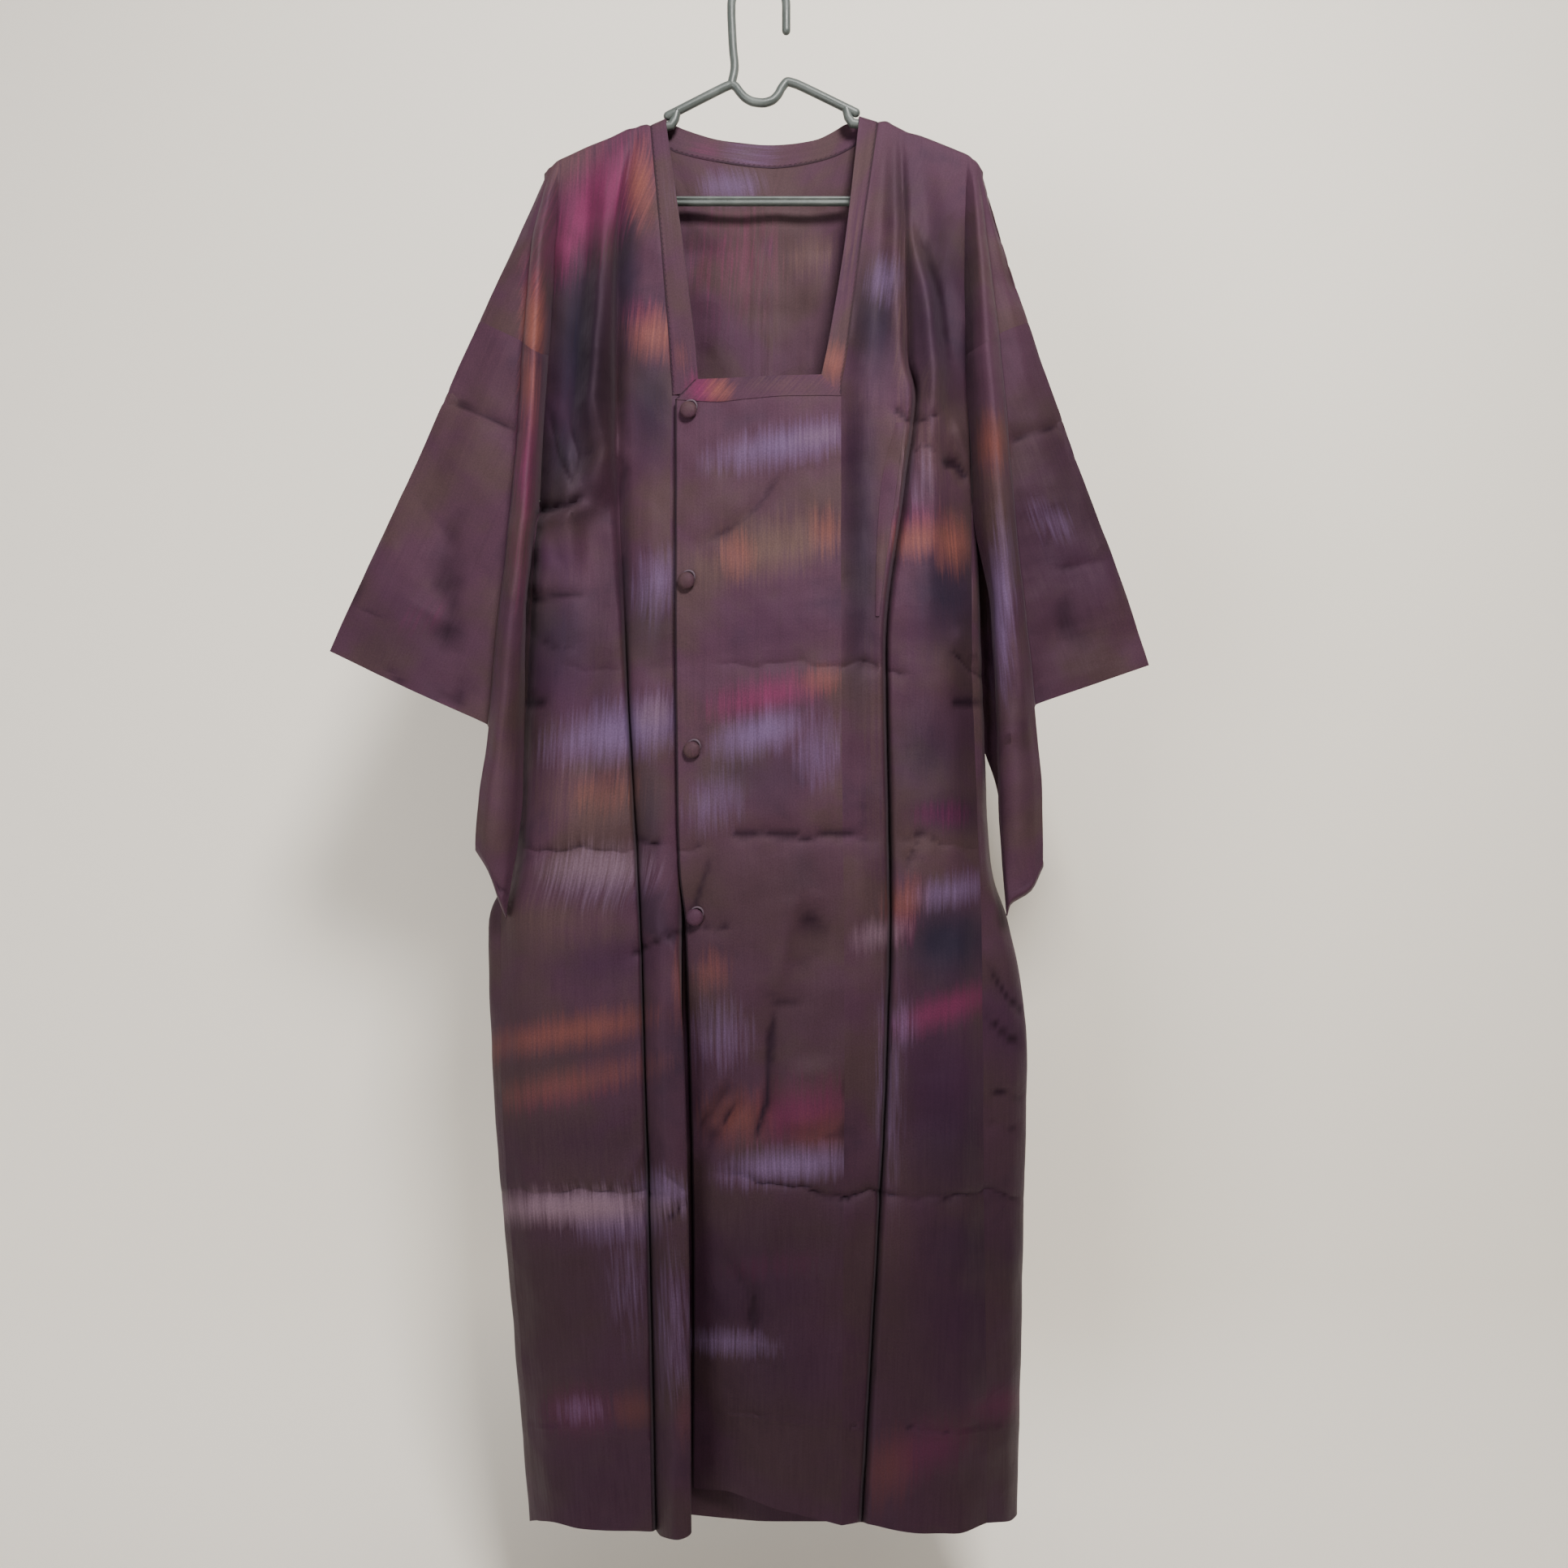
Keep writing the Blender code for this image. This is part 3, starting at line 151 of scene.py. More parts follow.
# Wearer's left front, from the seam with the neckband and overlap out to the armhole.
LEFT_FRONT = (
    Fold("band", -129, -1407, (108, 93, 80, 75, 75, 75, 77, 78, 78, 77, 75),
         (0, -25, -32, -43, -46, -48, -50, -50, -50, -48, -48)),
    Fold("plain", -128, -1405, (115, 110, 104, 102, 100, 98, 101, 101, 100, 94, 84),
         (0, -18, -22, -30, -36, -43, -46, -46, -46, -45, -45)),
    Fold("lip", -132, -1404, (123, 124, 129, 137, 127, 111, 115, 115, 113, 104, 90),
         (0, -25, -29, -36, -40, -44, -44, -44, -44, -43, -43)),
    Fold("fold", -135, -1404, (129, 133, 136, 143, 131, 116, 119, 120, 117, 107, 94),
         (0, -14, -16, -18, -20, -26, -26, -26, -28, -28, -28)),
    Fold("crest", -138, -1406, (135, 140, 144, 149, 138, 121, 125, 125, 122, 113, 100),
         (0, -25, -30, -32, -34, -40, -44, -46, -48, -48, -50)),
    Fold("middle", -141, -1412, (146, 152, 156, 158, 158, 149, 152, 153, 152, 148, 140),
         (0, -28, -36, -37, -38, -40, -42, -44, -46, -46, -48)),
    Fold("furrow", -149, -1414, (167, 170, 171, 172, 174, 175, 178, 181, 183, 181, 178),
         (0, -12, -18, -18, -20, -30, -36, -40, -44, -44, -46)),
    Fold("side", -158, -1406, (189, 188, 189, 190, 194, 194, 201, 203, 204, 206, 208),
         (0, -3, -4, -4, -4, -12, -20, -24, -28, -30, -32)),
)

# Overlap on the wearer's left, which carries the buttons. Columns from lap to hem.
OVERLAP_OUTER = (
    Fold("edge", None, -1372, (-76, -76, -76, -73, -67, -63, -59, -60),
         (-38, -42, -47, -49, -44, -34, -26, -14)),
    Fold("button_line", None, -1375, (-38, -38, -37, -36, -35, -34, -33, -31),
         (-43, -46, -49, -52, -50, -43, -37, -25)),
    Fold("centre", None, -1391, (18, 16, 15, 14, 13, 13, 12, 11),
         (-44, -48, -51, -54, -53, -50, -46, -40)),
    Fold("seam", None, -1407, (75, 75, 75, 77, 78, 78, 77, 75),
         (-43, -46, -48, -50, -50, -50, -48, -48)),
)

# Overlap on the wearer's right, hidden behind the outer one but for a sliver at the hem.
OVERLAP_INNER = (
    Fold("seam", None, -1396, (-64, -63, -63, -66, -70, -71, -68, -69),
         (-31, -33, -34, -33, -31, -20, -14, -6)),
    Fold("near", None, -1400, (-40, -40, -40, -38, -36, -34, -32, -30),
         (-32, -35, -37, -38, -36, -28, -20, -7)),
    Fold("centre", None, -1403, (18, 18, 18, 17, 16, 15, 14, 12),
         (-33, -36, -39, -42, -40, -36, -31, -24)),
    Fold("edge", None, -1403, (62, 62, 62, 63, 64, 64, 64, 62),
         (-34, -37, -39, -41, -41, -40, -38, -37)),
)

# Side gores between a front and a back. Columns from underarm to hem.
RIGHT_GORE = (
    Fold("front", None, -1402, (-200, -209, -221, -235, -235, -223, -202),
         (-4, -12, -10, -12, -14, -14, -14)),
    Fold("edge", None, -1402, (-203, -214, -226, -246, -243, -228, -208),
         (2, 1, 2, 0, 0, 0, 0)),
    Fold("back", None, -1398, (-200, -208, -221, -230, -226, -214, -196),
         (8, 14, 16, 16, 17, 17, 17)),
)
LEFT_GORE = (
    Fold("front", None, -1406, (194, 194, 201, 203, 204, 206, 208),
         (-4, -12, -20, -24, -28, -30, -32)),
    Fold("bend", None, -1404, (197, 200, 208, 221, 234, 232, 228),
         (0, -5, -9, -14, -16, -17, -17)),
    Fold("edge", None, -1397, (198, 202, 211, 228, 244, 240, 235),
         (3, 4, 4, 2, 0, 0, 0)),
    Fold("back", None, -1396, (194, 197, 205, 217, 230, 228, 224),
         (8, 14, 16, 17, 17, 17, 17)),
)

# Shoulder cap of each body panel, outside its side fold: arm, yoke and armhole seam.
# Columns: name, across, height. Both caps' depths are the same, fold by fold.
RIGHT_CAP = (
    ("fold", (-195, -218, -254), (-175, -232, -309)),
    ("flap", (-192, -212, -235), (-172, -236, -318)),
    ("strip_root", (-190, -206, -215), (-170, -238, -328)),
    ("strip_out", (-188, -206, -214), (-169, -239, -329)),
    ("strip_top", (-186, -200, -206), (-167, -240, -335)),
    ("strip_in", (-184, -193, -198), (-165, -240, -339)),
)
LEFT_CAP = (
    ("fold", (204, 221, 245), (-173, -238, -311)),
    ("flap", (201, 217, 232), (-169, -239, -315)),
    ("strip_root", (199, 209, 219), (-166, -240, -321)),
    ("strip_out", (197, 208, 218), (-164, -240, -323)),
    ("strip_top", (194, 202, 208), (-162, -240, -328)),
    ("strip_in", (192, 196, 197), (-160, -240, -335)),
)
CAP_DEPTHS = ((0, 0, 0), (0, -8, -10), (0, -11, -12), (0, -20, -27), (0, -26, -38), (0, -18, -28))

# Sleeves below the armhole seam. Columns: seam, underarm, elbow, cuff, low, tip.
# Each row: name, across, height, front depth, back depth. The first three folds end at the cuff,
# and the last two are the free edges at the front and at the back, which reaches behind the body.
RIGHT_SLEEVE = (
    ("fold", (-254, -309, -354, -391), (-309, -433, -530, -610), (0, 0, 0, 0), (0, 0, 0, 0)),
    ("flap", (-235, -266, -296, -320), (-318, -451, -556, -644), (-10, -12, -12, -10), (6, 9, 9, 8)),
    ("strip_root", (-215, -225, -238, -247), (-328, -469, -582, -677), (-12, -14, -14, -14),
     (7, 8, 8, 6)),
    ("strip_out", (-214, -224, -237, -246, -255, -258), (-329, -470, -583, -679, -745, -786),
     (-27, -32, -34, -34, -36, -33), (17, 16, 16, 11, -4, -22)),
    ("strip_top", (-206, -214, -227, -236, -243, -246), (-335, -471, -581, -682, -745, -806),
     (-38, -44, -46, -46, -46, -40), (24, 26, 24, 17, -6, -23)),
    ("strip_in", (-198, -207, -216, -223, -225, -236), (-339, -472, -580, -682, -745, -834),
     (-28, -34, -36, -37, -39, -39), (17, 20, 18, 11, -5, -13)),
    ("edge", (-192, -200, -213, -215, -216, -230), (-340, -473, -579, -682, -745, -848),
     (-3, -4, -14, -21, -27, -31), None),
    ("rear_edge", (-192, -200, -206, -223, -226, -230), (-340, -473, -579, -682, -745, -848),
     None, (6, 8, 18.5, 4, -10, -20)),
)
LEFT_SLEEVE = (
    ("fold", (245, 292, 328, 355), (-311, -444, -543, -623), (0, 0, 0, 0), (0, 0, 0, 0)),
    ("flap", (232, 263, 286, 303), (-315, -454, -559, -641), (-10, -12, -12, -10), (6, 9, 9, 8)),
    ("strip_root", (219, 232, 243, 252), (-321, -464, -573, -659), (-12, -14, -14, -14),
     (7, 8, 8, 6)),
    ("strip_out", (218, 231, 242, 251, 258, 259), (-323, -465, -573, -661, -745, -801),
     (-27, -32, -34, -34, -36, -33), (17, 16, 16, 11, 4, -16)),
    ("strip_top", (208, 220, 230, 239, 245, 248), (-328, -468, -573, -667, -745, -823),
     (-38, -44, -46, -46, -46, -40), (24, 26, 24, 17, 6, -17)),
    ("strip_in", (197, 208, 216, 219, 222, 229), (-335, -471, -573, -671, -745, -836),
     (-28, -34, -36, -37, -39, -39), (17, 20, 20, 14, 6, -13)),
    ("edge", (189, 194, 212, 217, 219, 226), (-340, -473, -573, -672, -745, -846),
     (-4, -4, -8, -14, -22, -31), None),
    ("rear_edge", (189, 194, 201, 200, 219, 226), (-340, -473, -573, -672, -745, -846),
     None, (6, 8, 18, 19.5, 2, -19)),
)
SLEEVE_ROWS = finer((3, 3, 3, 2, 3), DOWN)
# The sleeve's closed foot: drop and steps round it
SLEEVE_TIP_DROP = 5.0
FOOT_STEPS = 9
# How far the sleeve's free edge stands off the body where the armhole ends: out, forward, up
UNDERARM_STEP = (1.2, -0.8, 0.0)

# Free edge of the neckband where it runs down each front: across, height and depth, mm
RIGHT_BAND_EDGE = ((-84, -126, 0), (-69, -240, -27), (-57, -340, -33), (-54.5, -373, -36))
LEFT_BAND_EDGE = ((91, -124, 0), (78, -240, -27), (61, -340, -34), (57, -358, -43))
# The neck seam and the neckband's upper edge round the back, from the right to the left.
# The points at each end lie behind the hanger's arm.
NECK_SEAM = ((-97, -134.5, 5.6), (-92, -143, 9.5), (-79, -154, 12), (-33, -165, 16),
             (13, -170, 18), (58, -163, 16), (84, -152, 12), (99, -141, 9.5), (107, -131.5, 5.6))
NECK_EDGE = ((-83.5, -128, 5.6), (-80.5, -130, 10), (-75, -132, 13), (-33, -145, 17),
             (13, -149, 19), (50, -145, 17), (79, -130, 13), (87, -128, 10), (90.5, -126, 5.6))
NECK_STEPS = finer((1, 1, 2, 2, 2, 2, 1, 1), ACROSS)
BAND_COLUMNS = 9
# The neckband across the top of the outer overlap: its seam and its free edge
FRONT_BAND = ((-76, -381, -38), (-38, -382, -43), (18, -378, -44), (75, -377, -43))
FRONT_BAND_EDGE = ((-58, -362, -39.5), (-30, -361, -43.5), (16, -359, -44), (57, -358, -43))

# Band along the pocket mouth on the wearer's left front: height, left edge, right edge
POCKET = (
    (-402, 125.0, 132.5),
    (-438, 115.5, 128.5),
    (-472, 110.3, 124.0),
    (-534, 107.1, 115.0),
    (-578, 106.6, 110.0),
)
POCKET_WALL = 1.1
# The wall's share at the band's edges, and what it gains in the middle
POCKET_CROWN = (0.6, 0.4)
POCKET_COLUMNS = 9
POCKET_ROWS = 12
# The dyes are fainter on the band: their share, and its flat width, length and share of the cut, m
POCKET_DYED = 0.5
POCKET_CUT = (0.014, 0.176, 0.73)
ON_PANEL = 0.25

# Hanger, in its own plane, mm
HOOK_RADIUS = 25.0
HOOK_THICK = 3.9
HOOK_DROP = -44.0
HOOK_STEM = ((-25.0, -31.0), (-23.5, -60.0), (-22.0, -77.0))
CROWN = ((-83.0, -122.0), (-30.0, -95.2), (-25.0, -93.4), (-21.2, -95.2), (-17.6, -99.8),
         (-12.0, -105.6), (-4.2, -109.2), (3.6, -110.0), (11.4, -108.0), (17.2, -102.8),
         (21.4, -95.6), (26.4, -90.8), (33.0, -92.4), (88.5, -119.0))
CROWN_PEAK = 2
RIGHT_STRUT = ((-74.6, -117.6), (-76.4, -125.0), (-79.6, -130.2))
LEFT_STRUT = ((79.4, -114.8), (81.6, -123.4), (85.4, -128.6))
# Turn at the arm's end, down to the bar: outward mm, and share of the drop to the bar
END_TURN = ((0.0, 0.0), (5.0, 0.14), (6.6, 0.33), (5.8, 0.60), (2.6, 0.84), (-2.5, 0.98),
            (-8.0, 1.0), (-12.0, 1.0))
END_SETBACK = 12.0
END_LOWER = 3.0
BAR_HEIGHT = -199.7
BAR_TALL = 4.2
BAR_DEEP = 3.2
# Its two ribs' share of its height, and how deep and tall its web between them is
BAR_RIB = 0.5
BAR_WEB = (0.55, 0.6)
ROUND_SIDES = 20
ARCH_STEPS = 28
STEM_STEPS, CROWN_STEPS, TURN_STEPS, BAR_STEPS = 12, 90, 20, 8
# A rod is widened no more than this at a bend; rings round its domed end, degrees
BEND_LIMIT = 0.5
DOME_RINGS = (25, 48, 68, 84)


def seen(across, height, depth):
    """A point read in the hanger's plane, carried along its sight line to its own depth."""
    share = (depth - EYE_Y) / -EYE_Y
    return (EYE_X + (across - EYE_X) * share, depth, EYE_Z + (height - EYE_Z) * share)


def unseen(x, z, depth):
    """How a point at a depth reads in the hanger's plane: its width and height there."""
    share = (depth - EYE_Y) / -EYE_Y
    return (EYE_X + (x - EYE_X) / share, EYE_Z + (z - EYE_Z) / share)


def in_picture(points):
    """Where points fall in the picture's frame: steps from its left and from its top."""
    across, height = unseen(points[..., 0], points[..., 2], points[..., 1])
    return (across - PICTURE_LEFT) / PICTURE_STEP, (PICTURE_TOP - height) / PICTURE_STEP


def glide(knots, values, at):
    """A smooth curve through values that never swings past them."""
    knots = np.asarray(knots, float)
    values = np.asarray(values, float)
    at = np.clip(np.asarray(at, float), knots[0], knots[-1])
    if len(knots) == 2:
        return np.interp(at, knots, values)
    step = np.diff(knots)
    rise = np.diff(values) / step
    slope = np.zeros(len(knots))
    for i in range(1, len(knots) - 1):
        if rise[i - 1] * rise[i] > 0:
            before = 2 * step[i] + step[i - 1]
            after = step[i] + 2 * step[i - 1]
            slope[i] = (before + after) / (before / rise[i - 1] + after / rise[i])
    slope[0], slope[-1] = rise[0], rise[-1]
    cell = np.clip(np.searchsorted(knots, at, side="right") - 1, 0, len(step) - 1)
    t = (at - knots[cell]) / step[cell]
    h = step[cell]
    return (values[cell] * (1 + 2 * t) * (1 - t) ** 2 + slope[cell] * h * t * (1 - t) ** 2
            + values[cell + 1] * t * t * (3 - 2 * t) + slope[cell + 1] * h * t * t * (t - 1))


def curve(knots, table, at):
    """Points along a smooth curve through a table of across, height and depth."""
    return np.stack(seen(*(glide(knots, [row[k] for row in table], at) for k in range(3))), axis=1)


def between(first, last, shares):
    """Columns of points at shares of the way from one line of points to another."""
    shares = shares[None, :, None]
    return first[:, None] * (1 - shares) + last[:, None] * shares


def stations(counts):
    """Positions along a row of knots: counts[i] even steps between knot i and the next."""
    out = [0.0]
    for i, count in enumerate(counts):
        out += [i + (k + 1) / count for k in range(count)]
    return out


def levels_down(first=0, last=len(LEVELS) - 1):
    """Rows from one level to another, in levels from the first, crowded at the pressed lines."""
    fine = np.linspace(0, 1, CROWD_SAMPLES)
    rows = []
    for k in range(first, last):
        count = ROWS_PER_LEVEL[k]
        if HEIGHTS[k] is None:
            rows += [k - first + step / count for step in range(count)]
            continue
        foot = HEIGHTS[k + 1] or PRESSED_HEIGHTS[-1] - (HEIGHTS[k] - PRESSED_HEIGHTS[-1]) / 2
        height = HEIGHTS[k] + (foot - HEIGHTS[k]) * fine
        crowd = 1 + sum(PRESSED_CROWD * np.exp(-((height - line) / PRESSED_REACH) ** 2)
                        for line in PRESSED_HEIGHTS)
        grown = np.concatenate([[0], np.cumsum((crowd[1:] + crowd[:-1]) / 2)])
        at = np.interp(np.linspace(0, 1, count + 1), grown / grown[-1], fine)
        rows += [k - first + step for step in at[:-1]]
    return rows + [float(last - first)]


def fold_lines(folds, first):
    """Each fold's across, height and depth at every row from level `first` to the hem."""
    at = levels_down(first)
    knots = range(len(LEVELS) - first)
    lines = []
    for fold in folds:
        across, depth = list(fold.across), list(fold.depth)
        heights = list(HEIGHTS[first:])
        heights[-1] = fold.foot
        if first == 0:
            depth[0] = -WRAP_RADIUS
            across[0], heights[0] = unseen(across[0], fold.top - WRAP_RADIUS, depth[0])
        lines.append([glide(knots, row, at) for row in (across, heights, depth)])
    return np.array(lines)


def spread(lines, counts):
    """Points across the folds, `counts` steps from each to the next, for every row."""
    at = stations(counts)
    knots = range(len(lines))
    return np.array([curve(knots, lines[:, :, row], at) for row in range(lines.shape[2])])


def wrap_rows(arm_row):
    """Rows from the top of the hanger's arm down to its side, for the row at its side."""
    rows = []
    for angle in WRAP_ANGLES:
        turn = math.radians(angle)
        row = arm_row.copy()
        row[:, 1] = arm_row[:, 1] * math.sin(turn)
        row[:, 2] = arm_row[:, 2] + WRAP_RADIUS * math.cos(turn)
        rows.append(row)
    return rows


def front_panel(folds, steps):
    """A body front from the top of the hanger's arm to the hem."""
    grid = spread(fold_lines(folds, 0), steps)
    return np.array(wrap_rows(grid[0]) + list(grid))


def back_panel(front_top, side, neck, hand):
    """A body back: the same shoulder points as the front, then soft waves down to the hem."""
    shoulder = len(front_top[0])
    columns = shoulder + len(neck)
    start = len(WRAP_ANGLES)
    rows = start + len(side)
    grid = np.zeros((rows, columns, 3))
    share = np.linspace(0.0, 1.0, columns)
    centre = neck[-1]
    grid[:start, :shoulder] = front_top[:start] * (1, -1, 1)
    yoke = start + ROWS_PER_LEVEL[0]
    down = np.linspace(0.0, 1.0, len(side))[:, None]
    swing = BACK_WAVE * np.minimum(1.0, down * BACK_WAVE_GROWTH)
    swing = swing * np.sqrt(np.maximum(0.0, np.sin(math.pi * share)))
    phase = 2 * math.pi * BACK_WAVES_PER_PANEL * share + hand * BACK_WAVE_LEAN
    edge = side[:, None, :]
    flat = edge[..., 1] + (BACK_DEPTH - edge[..., 1]) * np.minimum(1.0, BACK_SIDE_EASE * share)
    grid[start:, :, 0] = edge[..., 0] + (centre[0] - edge[..., 0]) * share
    grid[start:, :, 1] = flat + swing * np.sin(phase)
    grid[start:, :, 2] = edge[..., 2] + BACK_HEM_RISE * down ** 3 * share
    arm = front_top[-1] * (1, -1, 1)
    for row in range(start, yoke):
        t = (row - start) / (yoke - start)
        grid[row, :shoulder] = arm * (1 - t) + grid[yoke, :shoulder] * t
    beside = grid[:yoke + 1, shoulder - 1, 2]
    for row in range(yoke):
        t = (beside[row] - beside[0]) / (beside[yoke] - beside[0])
        grid[row, shoulder:] = np.array(neck) * (1 - t) + grid[yoke, shoulder:] * t
    return grid


def cap_grid(rows_table, side_column, front):
    """The shoulder cap outside the side fold, from the arm's end down to the armhole seam."""
    count = sum(ROWS_PER_LEVEL[:2])
    at = levels_down(0, 2)
    lines = []
    for reach, depth, (_, across, height) in zip(CAP_REACH, CAP_DEPTHS, rows_table):
        if not front:
            depth = [-REAR_SHARE * out for out in depth]
        depths = [-WRAP_RADIUS * reach * (1 if front else -1)] + list(depth[1:])
        top = unseen(across[0], height[0] - WRAP_RADIUS, depths[0])
        columns = ((top[0], *across[1:]), (top[1], *height[1:]), depths)
        lines.append([glide((0, 1, 2), row, at) for row in columns])
    lines = np.array(lines)
    grid = spread(lines, CAP_STEPS)
    grid = np.array(wrap_rows(grid[0]) + list(grid))
    edge = side_column[:len(WRAP_ANGLES) + count + 1]
    last = between(grid[:, -1], edge, (np.arange(ACROSS) + 1) / ACROSS)
    return np.concatenate([grid, last], axis=1)


def sleeve_grids(table, sides, caps, hand_step):
    """A sleeve's flap and strip, front and back, below the armhole seam, and its closed foot."""
    at = stations(SLEEVE_ROWS)
    flap_at = stations(SLEEVE_ROWS[:3])
    knots = range(len(SLEEVE_ROWS) + 1)
    grids = {}
    seam_row = len(WRAP_ANGLES) + sum(ROWS_PER_LEVEL[:2])
    shared = sum(ROWS_PER_LEVEL[2:4])
    for face, depth_column, way in (("front", 3, 1), ("back", 4, -1)):
        side, cap = sides[face], caps[face]
        flap = np.array([[glide(knots[:4], row[k][:4], flap_at) for k in (1, 2, depth_column)]
                         for row in table[:4]])
        strip = np.array([[glide(knots, row[k], at) for k in (1, 2, depth_column)]
                          for row in (*table[3:6], table[6 if face == "front" else 7])])
        flap = spread(flap, FLAP_STEPS)
        strip = spread(strip, STRIP_STEPS)
        flap[:, -1] = strip[:len(flap), 0]
        cap_row = cap[-1]
        flap[0] = cap_row[:flap.shape[1]]
        strip[0] = cap_row[flap.shape[1] - 1:]
        # The armhole edge keeps to the body's side down to the underarm, then eases off it
        strip[:shared, -1] = side[seam_row:seam_row + shared]
        step = side[seam_row + shared] + np.array(hand_step) * (1, way, 1) - strip[shared, -1]
        ease = ROWS_PER_LEVEL[4]
        for k in range(ease):
            strip[shared + k, -1] += step * (1 - k / ease) ** 2
        grids[face] = (flap, strip)
    middle = (grids["front"][1][-1] + grids["back"][1][-1]) / 2
    spread_out = grids["front"][1][-1] - middle
    drop = np.array((0, 0, SLEEVE_TIP_DROP))
    grids["foot"] = np.array([middle + spread_out * math.cos(turn) - drop * math.sin(turn)
                              for turn in np.linspace(0, math.pi, FOOT_STEPS)])
    return grids


def side_line(gore_back, arm_top, across_top):
    """A back's side line from the arm to the hem: the armhole edge, then the gore's back edge."""
    at = levels_down()
    knots = range(len(LEVELS))
    across = list(across_top) + list(gore_back.across)
    heights = list(HEIGHTS)
    heights[-1] = gore_back.foot
    depth = [WRAP_RADIUS, *ARMHOLE_DEPTH, *gore_back.depth]
    across[0], heights[0] = unseen(across[0], arm_top - WRAP_RADIUS, WRAP_RADIUS)
    line = [glide(knots, row, at) for row in (across, heights, depth)]
    return np.stack(seen(*line), axis=1)


def round_neck(table):
    """Points round the back of the neck, from the right shoulder to the left."""
    return curve(range(len(table)), table, stations(NECK_STEPS))


def overlap_lines(folds, first, top):
    """Fold lines of an overlap, whose upper edge follows the front neckband's seam."""
    lines = fold_lines(folds, first)
    ease = np.maximum(0.0, 1 - np.arange(lines.shape[2]) / (2 * DOWN)) ** 2
    for line, point in zip(lines, top):
        line[1] += (point[1] - line[1, 0]) * ease
    return lines


def neckband_grid(right, left, back_seam, lap_row):
    """The neckband: down the right front, round the back of the neck and down the left front."""
    start = len(WRAP_ANGLES)
    at = levels_down(0, 3)[:lap_row - start + 1]

    def front_edge(edge):
        spots = np.array([list(p) for p in edge], float)
        top = unseen(edge[0][0], edge[0][1] - WRAP_RADIUS, -WRAP_RADIUS)
        spots[0] = (top[0], top[1], -WRAP_RADIUS)
        row = curve(range(len(spots)), spots, at)
        return np.array([p[0] for p in wrap_rows(row[:1])] + list(row))

    seam = np.concatenate([right[:lap_row + 1][::-1], back_seam, left[:lap_row + 1]])
    edge = np.concatenate([front_edge(RIGHT_BAND_EDGE)[::-1], round_neck(NECK_EDGE),
                           front_edge(LEFT_BAND_EDGE)])
    return between(seam, edge, np.linspace(0, 1, BAND_COLUMNS))


def quads_of(grid):
    """What a grid holds at the four corners of each of its quads."""
    return np.stack([grid[:-1, :-1], grid[:-1, 1:], grid[1:, 1:], grid[1:, :-1]], axis=2)


